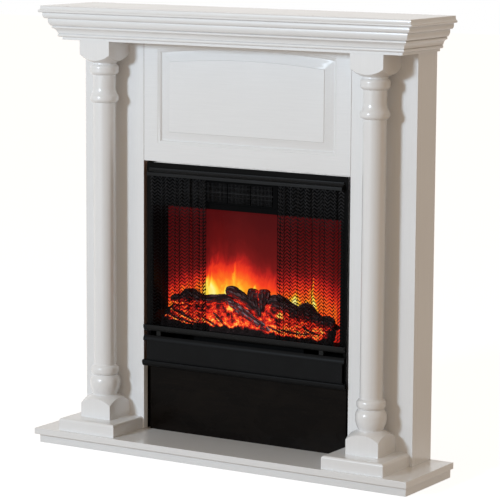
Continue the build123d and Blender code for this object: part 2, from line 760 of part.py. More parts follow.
def ring_at(x):
    """Flat ring that hangs on the rod, free to slide."""
    z = ROD_Z - (RING_R - ROD_R - RUNNING_GAP)
    outer = rod_along_x((x - RING_WIRE, x + RING_WIRE), ROD_Y, z, RING_R + 2 * RING_WIRE)
    return outer - rod_along_x((x - 2, x + 2), ROD_Y, z, RING_R)


def rod_stops():
    """Collars at the rod's ends that hold the curtains' outer edges."""
    collar = block((256.0, 260.0), (ROD_Y - 3, ROD_Y + 3), (CURTAIN_TOP_Z, ROD_Z + 2.2))
    collar = collar - rod_along_x((255, 261), ROD_Y, ROD_Z, ROD_R)
    return both_sides(collar)


def pleat_line(span, y):
    """Corners of the folds, alternately at the front and the back, between two flat ends."""
    count = 2 * round((span[1] - span[0]) / PLEAT_PITCH)
    pitch = (span[1] - span[0]) / count
    corners = [(span[0], y)]
    for i in range(count):
        bulge = PLEAT_SWING if i % 2 else -PLEAT_SWING
        corners.append((span[0] + (i + 0.5) * pitch, y + bulge))
    return corners + [(span[1], y)]


def mesh_curtain(span):
    """Pleated curtain of woven wire, as a thin folded sheet."""
    front = pleat_line(span, ROD_Y - MESH_THICK / 2)
    rear = pleat_line(span, ROD_Y + MESH_THICK / 2)
    sheet = polygon(*front, *reversed(rear))
    return Pos(0, 0, CURTAIN_BOTTOM_Z) * extrude(sheet, amount=CURTAIN_TOP_Z - CURTAIN_BOTTOM_Z)


def curtain_lead(x):
    """Stiff leading edge of a curtain, hung from its own ring on the rod."""
    depth = (ROD_Y - LEAD_DEPTH / 2, ROD_Y + LEAD_DEPTH / 2)
    bar = block((x - LEAD_WIDTH / 2, x + LEAD_WIDTH / 2), depth, (CURTAIN_BOTTOM_Z, CURTAIN_TOP_Z))
    neck = block((x - 0.6, x + 0.6), (ROD_Y - 1.2, ROD_Y + 1.2), (CURTAIN_TOP_Z, CURTAIN_TOP_Z + 1.0))
    return bar + neck + ring_at(x)


# ---------------------------------------------------------------- control door


def door_panel():
    """Flat door skin with side flanges that turn on the hinge pins."""
    skin = centred_block(DOOR_HALF, (DOOR_FACE_Y, DOOR_FACE_Y + 2), (DOOR_BOTTOM_Z + 0.5, DOOR_TOP_Z - 0.5))
    flange = block((DOOR_HALF - 2, DOOR_HALF), (DOOR_FACE_Y + 2, 21.5), (HINGE_Z, DOOR_TOP_Z - 4))
    eye = rod_along_x((DOOR_HALF - 2, DOOR_HALF), HINGE_Y, HINGE_Z, 3.4)
    eye = eye & block((0, 300), (DOOR_FACE_Y + 1, 30), (DOOR_BOTTOM_Z, DOOR_TOP_Z))
    hole = rod_along_x((DOOR_HALF - 6, DOOR_HALF + 6), HINGE_Y, HINGE_Z, PIN_R + RUNNING_GAP)
    ear = flange + eye - hole
    return skin + both_sides(ear)


def door_rails():
    """Moulded strips along the door's top and bottom edges."""
    top = face_of(
        Line((DOOR_FACE_Y, TOP_RAIL_Z), (FENDER_Y, TOP_RAIL_Z)),
        Line((FENDER_Y, TOP_RAIL_Z), (FENDER_Y, 256.2)),
        ThreePointArc((FENDER_Y, 256.2), (FENDER_Y + 1.8, 262.2), (DOOR_FACE_Y, DOOR_TOP_Z)),
        Line((DOOR_FACE_Y, DOOR_TOP_Z), (DOOR_FACE_Y, TOP_RAIL_Z)),
    )
    front = 8.5
    bottom = face_of(
        Line((DOOR_FACE_Y, BOTTOM_RAIL_TOP_Z), (front + 2.2, BOTTOM_RAIL_TOP_Z - 0.6)),
        ThreePointArc((front + 2.2, 206.4), (front + 0.5, 205.2), (front, 203.0)),
        Line((front, 203.0), (front, 200.0)),
        ThreePointArc((front, 200.0), (front + 1.5, 195.6), (front + 4.5, DOOR_BOTTOM_Z)),
        Line((front + 4.5, DOOR_BOTTOM_Z), (DOOR_FACE_Y, DOOR_BOTTOM_Z)),
        Line((DOOR_FACE_Y, DOOR_BOTTOM_Z), (DOOR_FACE_Y, BOTTOM_RAIL_TOP_Z)),
    )
    return [
        along_x(top, -TOP_RAIL_HALF, TOP_RAIL_HALF),
        along_x(bottom, -BOTTOM_RAIL_HALF, BOTTOM_RAIL_HALF),
    ]


def hinge_pins():
    """Headed pins held in the frame's ears, which the door turns on."""
    shank = rod_along_x((DOOR_HALF - 5, 269.6), HINGE_Y, HINGE_Z, PIN_R)
    head = rod_along_x((269.6, 270.8), HINGE_Y, HINGE_Z, 2.6)
    return both_sides(shank + head)


# ---------------------------------------------------------------- controls


def control_panel():
    """Moulded panel behind the door, with housings for two rockers and collars for two knobs."""
    panel = block(PANEL_X, (PANEL_Y, PANEL_Y + 2), (SHELF_Z + SHEET, 274.0))
    panel = panel + block(PANEL_X, (PANEL_Y + 2, PANEL_Y + 14), (SHELF_Z + SHEET, SHELF_Z + SHEET + 2))
    half = SWITCH_WIDTH / 2
    rise = ROCKER_R + 3
    for x in SWITCH_X:
        span = (x - half - 3, x + half + 3)
        body = block(span, (PANEL_Y - 2, PANEL_Y + 8), (SWITCH_Z - rise, SWITCH_Z + rise))
        well = rod_along_x((x - half - 0.35, x + half + 0.35), ROCKER_Y, SWITCH_Z, ROCKER_R + 0.4)
        axle = rod_along_x((x - half - 2, x + half + 2), ROCKER_Y, SWITCH_Z, 1.2 + RUNNING_GAP)
        panel = panel + body - well - axle
    for x in KNOB_X:
        collar = rod_along_y(x, (PANEL_Y - 1.2, PANEL_Y), KNOB_Z, KNOB_R + 4)
        bore = rod_along_y(x, (PANEL_Y - 4, PANEL_Y + 4), KNOB_Z, 3.0 + RUNNING_GAP)
        panel = panel + collar - bore
    return panel


def rocker(x):
    """Rocker switch: a slice of a drum with two sloping faces, tipping on stub axles."""
    reach = ROCKER_R + 1
    front = ROCKER_Y - 5.4
    upper = reach * math.tan(math.radians(2))
    lower = reach * math.tan(math.radians(SWITCH_THROW - 2))
    section = polygon(
        (front + upper, SWITCH_Z + reach),
        (front, SWITCH_Z),
        (front - lower, SWITCH_Z - reach),
        (ROCKER_Y + 3, SWITCH_Z - reach),
        (ROCKER_Y + 3, SWITCH_Z + reach),
    )
    half = SWITCH_WIDTH / 2
    drum = rod_along_x((x - half, x + half), ROCKER_Y, SWITCH_Z, ROCKER_R)
    body = along_x(section, x - half, x + half) & drum
    return body + rod_along_x((x - half - 1.6, x + half + 1.6), ROCKER_Y, SWITCH_Z, 1.2)


def knob(x):
    """Knob with a round skirt and a tapered finger bar, on a short spindle."""
    skirt = rod_along_y(x, (PANEL_Y - 5, PANEL_Y - 1.6), KNOB_Z, KNOB_R)
    foot = Plane.XZ.offset(5 - PANEL_Y) * Pos(x, KNOB_Z) * Rectangle(8.0, 2 * KNOB_R - 3)
    crest = Plane.XZ.offset(13 - PANEL_Y) * Pos(x, KNOB_Z) * Rectangle(4.4, 2 * KNOB_R - 6)
    spindle = rod_along_y(x, (PANEL_Y - 1.6, PANEL_Y + 9), KNOB_Z, 3.0)
    return skirt + loft([foot, crest]) + spindle


def circuit_board():
    """Control board on the floor of the case, with its relays, capacitor and terminals."""
    board_z = SHELF_Z + SHEET + 5
    board = block((-140, 20), (64, 100), (board_z, board_z + 1.6))
    top_z = board_z + 1.6
    parts = [Pos(-40, 80, top_z + 9.5) * Cylinder(7, 19)]
    for i in range(3):
        parts.append(block((-132 + 24 * i, -114 + 24 * i), (70, 84), (top_z, top_z + 15)))
        parts.append(block((-10 + 8 * i, -4 + 8 * i), (86, 97), (top_z, top_z + 9)))
    legs = []
    for x in (-135, 15):
        for y in (68, 96):
            legs.append(block((x - 2, x + 2), (y - 2, y + 2), (board_z - 5, board_z)))
    return board + parts + legs


# ---------------------------------------------------------------- flame effect


def flame_spindle():
    """Long shaft with bright flags set round it in a spiral, which makes the light flicker."""
    shaft = rod_along_x((-BRACKET_X - 6, BRACKET_X + 5), SPINDLE_Y, SPINDLE_Z, SPINDLE_R)
    flags = []
    count = 16
    for i in range(count):
        x = -215 + i * 430 / (count - 1)
        reach = (FLAG_REACH + SPINDLE_R) / 2
        flag = Pos(x, SPINDLE_Y, SPINDLE_Z) * Rot(137.5 * i, 0, 0) * Pos(0, 0, reach) * Rot(0, 0, 25)
        flags.append(flag * Box(11, 0.8, FLAG_REACH - SPINDLE_R + 1))
    return shaft + flags


def spindle_motor():
    """Geared motor on the right-hand bracket that drives the spindle."""
    face_x = BRACKET_X + SHEET
    can = rod_along_x((face_x + 6, face_x + 20), SPINDLE_Y, SPINDLE_Z, 12.5)
    gearbox = block((face_x, face_x + 6), (78.6, 103.4), (SPINDLE_Z - 12, SPINDLE_Z + 12))
    socket = rod_along_x((face_x - 1, face_x + 4), SPINDLE_Y, SPINDLE_Z, SPINDLE_R + RUNNING_GAP)
    return can + gearbox - socket


def led_strip():
    """Lamps under the spindle, in a row along the floor."""
    strip = centred_block(228, (84, 98), (FLOOR_Z, FLOOR_Z + 3))
    lamps = []
    for i in range(12):
        lamps.append(Pos(-209 + i * 38, 91, FLOOR_Z + 4) * Box(6, 6, 2))
    return strip + lamps


# ---------------------------------------------------------------- fan heater


def heater_housing():
    """Scroll of folded sheet round the fan wheel, opening forward to the outlet."""
    front = FASCIA_Y + SHEET + 1.2
    top = WHEEL_Z + 23.0
    rear = WHEEL_Y + 24.0
    outer = face_of(
        Line((front, OUTLET_Z[1] + 2), (56, OUTLET_Z[1] + 2)),
        ThreePointArc((56, OUTLET_Z[1] + 2), (64, top - 8), (WHEEL_Y, top)),
        ThreePointArc((WHEEL_Y, top), (rear - 5, WHEEL_Z + 15), (rear, WHEEL_Z - 4)),
        ThreePointArc((rear, WHEEL_Z - 4), (rear - 14, OUTLET_Z[0] + 10), (62, OUTLET_Z[0] - 2)),
        Line((62, OUTLET_Z[0] - 2), (front, OUTLET_Z[0] - 2)),
        Line((front, OUTLET_Z[0] - 2), (front, OUTLET_Z[1] + 2)),
    )
    inner = offset(outer, amount=-SHEET)
    mouth = polygon((31, OUTLET_Z[0]), (40, OUTLET_Z[0]), (40, OUTLET_Z[1]), (31, OUTLET_Z[1]))
    body = along_x(outer, OUTLET_X[0], OUTLET_X[1])
    hollow = along_x(inner, OUTLET_X[0] + SHEET, OUTLET_X[1] - SHEET)
    hollow = hollow + along_x(mouth, OUTLET_X[0] + SHEET, OUTLET_X[1] - SHEET)
    shell = body - hollow
    bush = rod_along_x((OUTLET_X[0] - 1, OUTLET_X[1] + 1), WHEEL_Y, WHEEL_Z, 2.0 + RUNNING_GAP)
    return shell - bush


def heating_element():
    """Three flat heater bars across the duct, with thin cooling fins over them."""
    x = (OUTLET_X[0] + SHEET, OUTLET_X[1] - SHEET)
    bars = [block(x, (46, 54), (z - 1.2, z + 1.2)) for z in (606, 617, 628)]
    fins = []
    for i in range(14):
        at = x[0] + 10 + i * 17.2
        fins.append(block((at, at + 0.8), (45, 55), (599, 635)))
    return fins[0] + fins[1:] + bars


def blower_wheel():
    """Tangential fan wheel: curved blades between end discs, on a through shaft."""
    x0, x1 = WHEEL_X
    wheel = rod_along_x((x0, x0 + 1.5), WHEEL_Y, WHEEL_Z, WHEEL_R)
    wheel = wheel + rod_along_x((x1 - 1.5, x1), WHEEL_Y, WHEEL_Z, WHEEL_R)
    wheel = wheel + rod_along_x((OUTLET_X[0] + 0.2, OUTLET_X[1] + 14), WHEEL_Y, WHEEL_Z, 2.0)
    blades = []
    for i in range(15):
        turn = Pos(0, WHEEL_Y, WHEEL_Z) * Rot(24 * i, 0, 0) * Pos(0, 0, WHEEL_R - 3.8) * Rot(35, 0, 0)
        blades.append(turn * Pos((x0 + x1) / 2, 0, 0) * Box(x1 - x0, 1.0, 6.0))
    return wheel + blades


def blower_motor():
    """Shaded-pole motor beside the scroll, on a foot fixed to it."""
    x = OUTLET_X[1] + 10
    stack = block((x, x + 26), (WHEEL_Y - 18, WHEEL_Y + 18), (WHEEL_Z - 17, WHEEL_Z + 19))
    coil = block((x + 3, x + 23), (WHEEL_Y - 14, WHEEL_Y + 14), (WHEEL_Z - 33, WHEEL_Z - 17))
    foot = block((OUTLET_X[1], x), (WHEEL_Y - 12, WHEEL_Y + 12), (WHEEL_Z - 16, WHEEL_Z - 13))
    bore = rod_along_x((x - 1, x + 5), WHEEL_Y, WHEEL_Z, 2.0 + RUNNING_GAP)
    return stack + coil + foot - bore


# ---------------------------------------------------------------- assembly


def solids_of(shape):
    if isinstance(shape, list):
        return [solid for item in shape for solid in item.solids()]
    return list(shape.solids())


def build():
    ring = crown_ring()
    column_holes = column_dowels()
    columns = column() - column_holes
    plinths = both_sides(plinth() - column_holes)
    soffit = crown_soffit() - column_holes - bracket_screws()
    logs = {
        "log_left": log_left(),
        "log_front": log_front(),
        "log_back": log_back(),
        "log_middle": log_middle(),
        "log_right": log_right(),
    }
    lead_left_x = LEFT_CURTAIN[1] + LEAD_WIDTH / 2
    lead_right_x = RIGHT_CURTAIN[0] - LEAD_WIDTH / 2
    nodes = {
        "hearth_base": hearth_base(),
        "hearth_top": hearth_top(),
        "plinths": plinths,
        "left_column": other_side(columns),
        "right_column": columns,
        "column_dowels": column_holes,
        "left_pilaster": other_side(pilaster()),
        "right_pilaster": pilaster(),
        "side_boards": side_boards(),
        "frieze_panel": frieze_panel(),
        "crown_front": crown_front(ring),
        "crown_returns": crown_returns(ring),
        "crown_soffit": soffit,
        "mantel_top": mantel_top(),
        "lower_board": lower_board(),
        "insert_shelf": insert_shelf(),
        "opening_cheeks": opening_cheeks(),
        "glue_blocks": glue_blocks(),
        "wall_brackets": wall_brackets(),
        "bracket_screws": bracket_screws(),
        "case_shell": case_shell(),
        "case_back": case_back(),
        "case_screws": case_screws(),
        "cable_gland": cable_gland(),
        "front_frame": front_frame(),
        "hood": hood(),
        "fender": fender(),
        "vent_fascia": vent_fascia(),
        "outlet_grille": outlet_grille(),
        "side_liners": side_liners(),
        "flame_screen": flame_screen(),
        "firebox_floor": firebox_floor(),
        "ember_bed": ember_bed(list(logs.values())),
        "curtain_rod": curtain_rod(),
        "rod_stops": rod_stops(),
        "left_curtain": mesh_curtain(LEFT_CURTAIN),
        "right_curtain": mesh_curtain(RIGHT_CURTAIN),
        "left_curtain_lead": curtain_lead(lead_left_x),
        "right_curtain_lead": curtain_lead(lead_right_x),
        "door_panel": door_panel(),
        "door_rails": door_rails(),
        "hinge_pins": hinge_pins(),
        "control_panel": control_panel(),
        "power_switch": rocker(SWITCH_X[0]),
        "heat_switch": rocker(SWITCH_X[1]),
        "flame_knob": knob(KNOB_X[0]),
        "thermostat_knob": knob(KNOB_X[1]),
        "circuit_board": circuit_board(),
        "flame_spindle": flame_spindle(),
        "spindle_motor": spindle_motor(),
        "led_strip": led_strip(),
        "heater_housing": heater_housing(),
        "heating_element": heating_element(),
        "blower_wheel": blower_wheel(),
        "blower_motor": blower_motor(),
    }
    nodes.update(logs)
    return nodes


os.makedirs("parts", exist_ok=True)
for name, shape in build().items():
    solids = solids_of(shape)
    whole = solids[0] if len(solids) == 1 else Compound(children=solids)
    export_step(whole, f"parts/{name}.step")
    print(name, len(solids))
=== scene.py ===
import math

import bpy
from mathutils import Matrix, Vector, noise


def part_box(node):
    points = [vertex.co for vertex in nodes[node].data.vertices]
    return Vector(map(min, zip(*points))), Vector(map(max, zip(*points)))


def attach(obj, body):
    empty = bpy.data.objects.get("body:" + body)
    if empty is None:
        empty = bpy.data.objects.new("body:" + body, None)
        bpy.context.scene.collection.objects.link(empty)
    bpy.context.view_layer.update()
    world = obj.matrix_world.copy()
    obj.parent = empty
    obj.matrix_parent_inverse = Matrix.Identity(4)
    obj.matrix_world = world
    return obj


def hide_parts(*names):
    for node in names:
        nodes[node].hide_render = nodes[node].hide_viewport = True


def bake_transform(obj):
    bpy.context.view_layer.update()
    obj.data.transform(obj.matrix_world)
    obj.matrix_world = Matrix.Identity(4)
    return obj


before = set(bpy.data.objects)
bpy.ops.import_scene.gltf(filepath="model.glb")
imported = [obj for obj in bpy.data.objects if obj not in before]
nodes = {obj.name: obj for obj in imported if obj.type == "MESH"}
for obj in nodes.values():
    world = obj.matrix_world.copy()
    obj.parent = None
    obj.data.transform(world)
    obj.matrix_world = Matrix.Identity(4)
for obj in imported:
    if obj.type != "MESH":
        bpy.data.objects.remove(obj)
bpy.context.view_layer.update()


# ---------- camera
# A long lens, a little above the mantel and well to the right, looking slightly down.
# It stands still, and nothing in the scene depends on where it stands.

stand = Vector((2.9915, -4.8073, 1.3354))
yaw = math.radians(31.637)
pitch = math.radians(8.458)
roll = math.radians(0.340)
focal_length = 179.33

camera_data = bpy.data.cameras.new("studio_camera")
camera_data.sensor_width = 36.0
camera_data.lens = focal_length
camera_data.clip_end = 60.0
camera = bpy.data.objects.new("studio_camera", camera_data)
level_view = Matrix.Rotation(yaw, 4, "Z") @ Matrix.Rotation(math.pi / 2 - pitch, 4, "X")
camera.matrix_world = Matrix.Translation(stand) @ level_view @ Matrix.Rotation(roll, 4, "Z")
bpy.context.scene.collection.objects.link(camera)
bpy.context.scene.camera = camera


# ---------- floor and studio light
# A seamless white floor under a plain pale room. The camera sees it as white, apart from the
# fireplace's own shadow, and metal and gloss pick up the same white.

def deselect_all():
    if bpy.context.object and bpy.context.object.mode != "OBJECT":
        bpy.ops.object.mode_set(mode="OBJECT")
    bpy.ops.object.select_all(action="DESELECT")


def set_inputs(tree, node, settings):
    """Sets a node's inputs to values, or links them to the outputs of other nodes."""
    for name, value in settings.items():
        if isinstance(value, bpy.types.NodeSocket):
            tree.links.new(value, node.inputs[name])
        else:
            node.inputs[name].default_value = value


def new_node(tree, kind, settings):
    node = tree.nodes.new("ShaderNode" + kind)
    set_inputs(tree, node, settings)
    return node


def maths(tree, operation, a, b=0.0):
    step = new_node(tree, "Math", {0: a, 1: b})
    step.operation = operation
    return step.outputs[0]


def seen_as_white(tree, shaded, white):
    """Keeps a shaded surface for soft light, and shows the camera, gloss and glass the white one."""
    path = new_node(tree, "LightPath", {})
    sharp = maths(tree, "MAXIMUM", path.outputs["Is Camera Ray"], path.outputs["Is Glossy Ray"])
    sharp = maths(tree, "MAXIMUM", sharp, path.outputs["Is Transmission Ray"])
    return new_node(tree, "MixShader", {0: sharp, 1: shaded.outputs[0], 2: white.outputs[0]}).outputs[0]


floor_z = -0.0006
deselect_all()
bpy.ops.mesh.primitive_plane_add(size=30.0, location=(0.0, 0.0, floor_z))
floor = bpy.context.object
floor.name = "studio_floor"
floor_finish = bpy.data.materials.new("studio_floor")
floor_finish.use_nodes = True
tree = floor_finish.node_tree
tree.nodes.clear()
matt = new_node(tree, "BsdfDiffuse", {"Color": (0.56, 0.48, 0.40, 1.0)})
shadowed = new_node(tree, "BsdfDiffuse", {"Color": (0.42, 0.42, 0.42, 1.0)})
lift = new_node(tree, "Emission", {"Strength": 0.88})
both = new_node(tree, "AddShader", {0: shadowed.outputs[0], 1: lift.outputs[0]})
new_node(tree, "OutputMaterial", {"Surface": seen_as_white(tree, matt, both)})
floor.data.materials.append(floor_finish)

room = bpy.data.worlds.new("studio_room")
room.use_nodes = True
tree = room.node_tree
tree.nodes.clear()
ambient = new_node(tree, "Background", {"Color": (1.0, 0.77, 0.54, 1.0), "Strength": 0.41})
white = new_node(tree, "Background", {"Color": (1.0, 1.0, 1.0, 1.0), "Strength": 1.0})
new_node(tree, "OutputWorld", {"Surface": seen_as_white(tree, ambient, white)})
bpy.context.scene.world = room
bpy.context.scene.view_settings.view_transform = "Standard"

# One square softbox, in front and to the left, is the only lamp.
softbox = bpy.data.lights.new("key_softbox", "AREA")
softbox.shape = "RECTANGLE"
softbox.size = 0.66
softbox.size_y = 0.66
softbox.energy = 127.0
softbox.color = (0.71, 0.85, 0.98)
lamp = bpy.data.objects.new("key_softbox", softbox)
lamp_place = Vector((-1.38, -4.35, 1.68))
lit_point = Vector((0.0, 0.0, 0.6))
lamp.location = lamp_place
lamp.rotation_euler = (lit_point - lamp_place).to_track_quat("-Z", "Y").to_euler()
bpy.context.scene.collection.objects.link(lamp)


# ---------- lacquered surround
# MDF and solid timber, sanded, primed and sprayed with satin white lacquer: a faint grain shows
# through, and every sawn edge is eased before painting. The boards are glued up with tight seams.

even = (1.0, 1.0, 1.0)
sharp_angle = math.radians(38)


def opened(material):
    """A material, its nodes and the one of them that is its surface."""
    return material, material.node_tree, material.node_tree.nodes["Principled BSDF"]


def new_finish(name):
    material = bpy.data.materials.new(name)
    material.use_nodes = True
    return opened(material)


def changed_finish(material, name):
    """A copy of a finish, to be changed for one kind of piece."""
    copy = material.copy()
    copy.name = name
    return opened(copy)


def object_pattern(tree, scale=even):
    """Object coordinates stretched by a scale for each axis."""
    place = new_node(tree, "TexCoord", {}).outputs["Object"]
    return new_node(tree, "Mapping", {"Vector": place, "Scale": scale}).outputs["Vector"]


def split_axes(tree, vector):
    """The X, Y and Z of a vector, as three numbers."""
    return new_node(tree, "SeparateXYZ", {0: vector}).outputs


def noise_node(tree, stretch, scale, detail=3.0, roughness=0.55, distortion=0.0):
    texture = new_node(tree, "TexNoise", {
        "Vector": object_pattern(tree, stretch), "Scale": scale, "Detail": detail,
        "Roughness": roughness, "Distortion": distortion})
    return texture.outputs["Fac"]


def ramp_node(tree, value, stops):
    ramp = tree.nodes.new("ShaderNodeValToRGB")
    elements = ramp.color_ramp.elements
    while len(elements) < len(stops):
        elements.new(0.5)
    for element, (position, colour) in zip(elements, stops):
        element.position = position
        element.color = (*colour, 1.0)
    tree.links.new(value, ramp.inputs[0])
    return ramp.outputs["Color"]


def range_node(tree, value, low, high, out_low, out_high):
    change = new_node(tree, "MapRange", {
        "Value": value, "From Min": low, "From Max": high, "To Min": out_low, "To Max": out_high})
    return change.outputs["Result"]


def spread(tree, noise_value, low, high):
    """Stretches noise, which mostly lies between 0.3 and 0.7, to run from low to high."""
    return range_node(tree, noise_value, 0.3, 0.7, low, high)


def bump_node(tree, height, strength, distance):
    bump = new_node(tree, "Bump", {"Height": height, "Strength": strength, "Distance": distance})
    return bump.outputs["Normal"]


def added(tree, a, b):
    return maths(tree, "ADD", a, b)


def times(tree, a, b):
    return maths(tree, "MULTIPLY", a, b)


def dress(tree, surface, colour, roughness, normal=None, shine=0.5):
    """Links a surface's colour, roughness and bumps, and sets how strongly it shines face on."""
    set_inputs(tree, surface, {"Base Color": colour, "Roughness": roughness, "Specular IOR Level": shine})
    if normal:
        set_inputs(tree, surface, {"Normal": normal})


def white_lacquer(name, grain):
    """Satin white over a grain that runs along the axis with the smallest scale."""
    material, tree, surface = new_finish(name)
    streaks = noise_node(tree, grain, 1.0, 4.0, 0.6, 0.2)
    flow = noise_node(tree, even, 900.0, 1.0)
    cloud = noise_node(tree, even, 5.0, 2.0)
    tint = ramp_node(tree, streaks, [(0.3, (0.800, 0.800, 0.802)), (0.7, (0.826, 0.826, 0.828))])
    height = added(tree, times(tree, streaks, 0.7), times(tree, flow, 0.3))
    dress(tree, surface, tint, spread(tree, cloud, 0.30, 0.38), bump_node(tree, height, 0.16, 0.00035))
    set_inputs(tree, surface, {"Coat Weight": 0.6, "Coat Roughness": 0.12})
    return material


def smooth_by_angle_tree():
    """Modifier nodes that shade a piece smooth, apart from its sharp edges."""
    tree = bpy.data.node_groups.new("smooth_to_sharp_edges", "GeometryNodeTree")
    tree.interface.new_socket("Geometry", in_out="INPUT", socket_type="NodeSocketGeometry")
    tree.interface.new_socket("Geometry", in_out="OUTPUT", socket_type="NodeSocketGeometry")
    come = tree.nodes.new("NodeGroupInput")
    leave = tree.nodes.new("NodeGroupOutput")
    faces = tree.nodes.new("GeometryNodeSetShadeSmooth")
    faces.domain = "FACE"
    edges = tree.nodes.new("GeometryNodeSetShadeSmooth")
    edges.domain = "EDGE"
    angle = tree.nodes.new("GeometryNodeInputMeshEdgeAngle")
    sharper = tree.nodes.new("FunctionNodeCompare")
    sharper.data_type = "FLOAT"
    sharper.operation = "GREATER_THAN"
    set_inputs(tree, sharper, {0: angle.outputs["Unsigned Angle"], 1: sharp_angle})
    set_inputs(tree, faces, {"Geometry": come.outputs[0]})
    set_inputs(tree, edges, {
        "Geometry": faces.outputs[0], "Selection": sharper.outputs[0], "Shade Smooth": False})
    set_inputs(tree, leave, {0: edges.outputs[0]})
    return tree


smooth_tree = smooth_by_angle_tree()


def finish_node(name, material, rounding=0.0):
    """Paints a CAD node, joins its loose facets, rounds its sharp edges and shades the rest smooth."""
    piece = nodes[name]
    piece.data.materials.clear()
    piece.data.materials.append(material)
    weld = piece.modifiers.new("weld", "WELD")
    weld.merge_threshold = 0.00002
    if rounding > 0:
        bevel = piece.modifiers.new("eased_edges", "BEVEL")
        bevel.width = rounding
        bevel.segments = 2
        bevel.limit_method = "ANGLE"
        bevel.angle_limit = sharp_angle
        bevel.use_clamp_overlap = True
    smooth = piece.modifiers.new("smooth", "NODES")
    smooth.node_group = smooth_tree
    weighted = piece.modifiers.new("weighted", "WEIGHTED_NORMAL")
    weighted.keep_sharp = True


def inside_range(tree, value, low, high):
    """1 where a value lies between low and high, and 0 elsewhere."""
    above = maths(tree, "GREATER_THAN", value, low)
    below = maths(tree, "LESS_THAN", value, high)
    return times(tree, above, below)


def faces_back(tree):
    """1 on faces that look to the rear, and 0 elsewhere."""
    normal = new_node(tree, "NewGeometry", {}).outputs["True Normal"]
    return maths(tree, "GREATER_THAN", split_axes(tree, normal)["Y"], 0.9)


def tint_where(tree, surface, mask, colour):
    """Mixes a colour over what the base colour already is, where the mask is 1."""
    mix = tree.nodes.new("ShaderNodeMix")
    mix.data_type = "RGBA"
    below = surface.inputs["Base Color"].links[0].from_socket
    above = (*colour, 1.0) if isinstance(colour, tuple) else colour
    set_inputs(tree, mix, {"Factor": mask, "A": below, "B": above})
    set_inputs(tree, surface, {"Base Color": mix.outputs["Result"]})


upright_lacquer = white_lacquer("white_lacquer_upright", (420.0, 420.0, 14.0))
level_lacquer = white_lacquer("white_lacquer_level", (14.0, 420.0, 420.0))
side_lacquer = white_lacquer("white_lacquer_side", (420.0, 14.0, 420.0))

# The boards are raw behind and where they are cut beside the fire, and the seam between the face
# boards and the side boards carries a dark line that is painted shadow in the gap there.
board_lacquer, tree, surface = changed_finish(upright_lacquer, "white_lacquer_boards")
place = split_axes(tree, object_pattern(tree))
fibre = noise_node(tree, (300.0, 300.0, 40.0), 1.0, 3.0)
raw_board = ramp_node(tree, fibre, [(0.3, (0.21, 0.125, 0.085)), (0.7, (0.31, 0.185, 0.13))])
face_board_low, face_board_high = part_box("right_pilaster")
across = maths(tree, "ABSOLUTE", place["X"])
cut_edge = maths(tree, "LESS_THAN", across, face_board_low.x + 0.0004)
beside_fire = maths(tree, "GREATER_THAN", place["Z"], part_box("lower_board")[1].z)
tint_where(tree, surface, times(tree, cut_edge, beside_fire), raw_board)
tint_where(tree, surface, faces_back(tree), raw_board)
# Painted shadow: a dark line along the seam where the side boards meet the face boards.
seam = inside_range(tree, place["Y"], face_board_high.y - 0.0005, face_board_high.y + 0.0009)
tint_where(tree, surface, seam, (0.58, 0.53, 0.46))

# The frieze has a thinner, duller coat, and is raw behind.
panel_lacquer, tree, surface = changed_finish(level_lacquer, "white_lacquer_panel")
tint_where(tree, surface, faces_back(tree), (0.27, 0.165, 0.115))
set_inputs(tree, surface, {"Coat Weight": 0.12, "Coat Roughness": 0.34})

for name in ("left_pilaster", "right_pilaster", "side_boards"):
    finish_node(name, board_lacquer, 0.0006)
for name in ("left_column", "right_column"):
    finish_node(name, upright_lacquer, 0.0008)
for name in ("hearth_base", "mantel_top", "crown_front", "crown_soffit"):
    finish_node(name, level_lacquer, 0.0007)
finish_node("hearth_top", level_lacquer)
finish_node("crown_returns", side_lacquer, 0.0005)
finish_node("plinths", level_lacquer, 0.0006)
finish_node("frieze_panel", panel_lacquer, 0.0006)


# ---------- raw timber behind
# Redwood blocks, dowels and a shelf that nobody sees from the front: sawn, unpainted, with
# darker bands of summer growth along the grain.

def raw_timber(name, grain):
    """Sawn softwood whose grain runs along the axis with the smallest scale."""
    material, tree, surface = new_finish(name)
    bands = noise_node(tree, grain, 1.0, 3.0, 0.5, 1.2)
    fibre = noise_node(tree, tuple(v * 9 for v in grain), 1.0, 2.0)
    tint = ramp_node(tree, bands, [
        (0.36, (0.42, 0.25, 0.12)),
        (0.5, (0.60, 0.41, 0.23)),
        (0.66, (0.68, 0.50, 0.30)),
    ])
    dress(tree, surface, tint, spread(tree, fibre, 0.62, 0.8), bump_node(tree, fibre, 0.35, 0.0006))
    return material


timber_along = raw_timber("raw_timber_along", (6.0, 90.0, 90.0))
timber_up = raw_timber("raw_timber_up", (90.0, 90.0, 6.0))
finish_node("insert_shelf", timber_along, 0.0005)
finish_node("glue_blocks", timber_up, 0.001)
finish_node("column_dowels", timber_up)


# ---------- board under the fire
# One board stained black-brown and wiped with a semi-gloss varnish, so that it mirrors the
# hearth softly and shows a little of its grain. The cheeks of the opening are stained the same,
# and their dark stain also serves as painted shade in the gap beside the fire.

stained_board, tree, surface = new_finish("black_brown_stain")
grain = noise_node(tree, (10.0, 160.0, 160.0), 1.0, 5.0, 0.62, 0.6)
smear = noise_node(tree, (1.0, 1.0, 1.6), 9.0, 4.0, 0.6, 0.8)
mixed = added(tree, times(tree, grain, 0.45), times(tree, smear, 0.55))
tint = ramp_node(tree, mixed, [
    (0.38, (0.0026, 0.0018, 0.0014)),
    (0.55, (0.0046, 0.0031, 0.0022)),
    (0.72, (0.0085, 0.0058, 0.0040)),
])
varnish = range_node(tree, smear, 0.35, 0.7, 0.22, 0.4)
dress(tree, surface, tint, varnish, bump_node(tree, mixed, 0.2, 0.0004), 0.05)
finish_node("lower_board", stained_board, 0.0006)
# The cheeks' dark stain also stands in as painted shade for the gap beside the fire.
finish_node("opening_cheeks", stained_board, 0.0006)


# ---------- black metalwork of the fire
# Folded and drawn steel sheet in satin black powder coat: a fine pebbled skin, a shade paler in
# soft patches. The cheeks inside are enamelled and shinier.

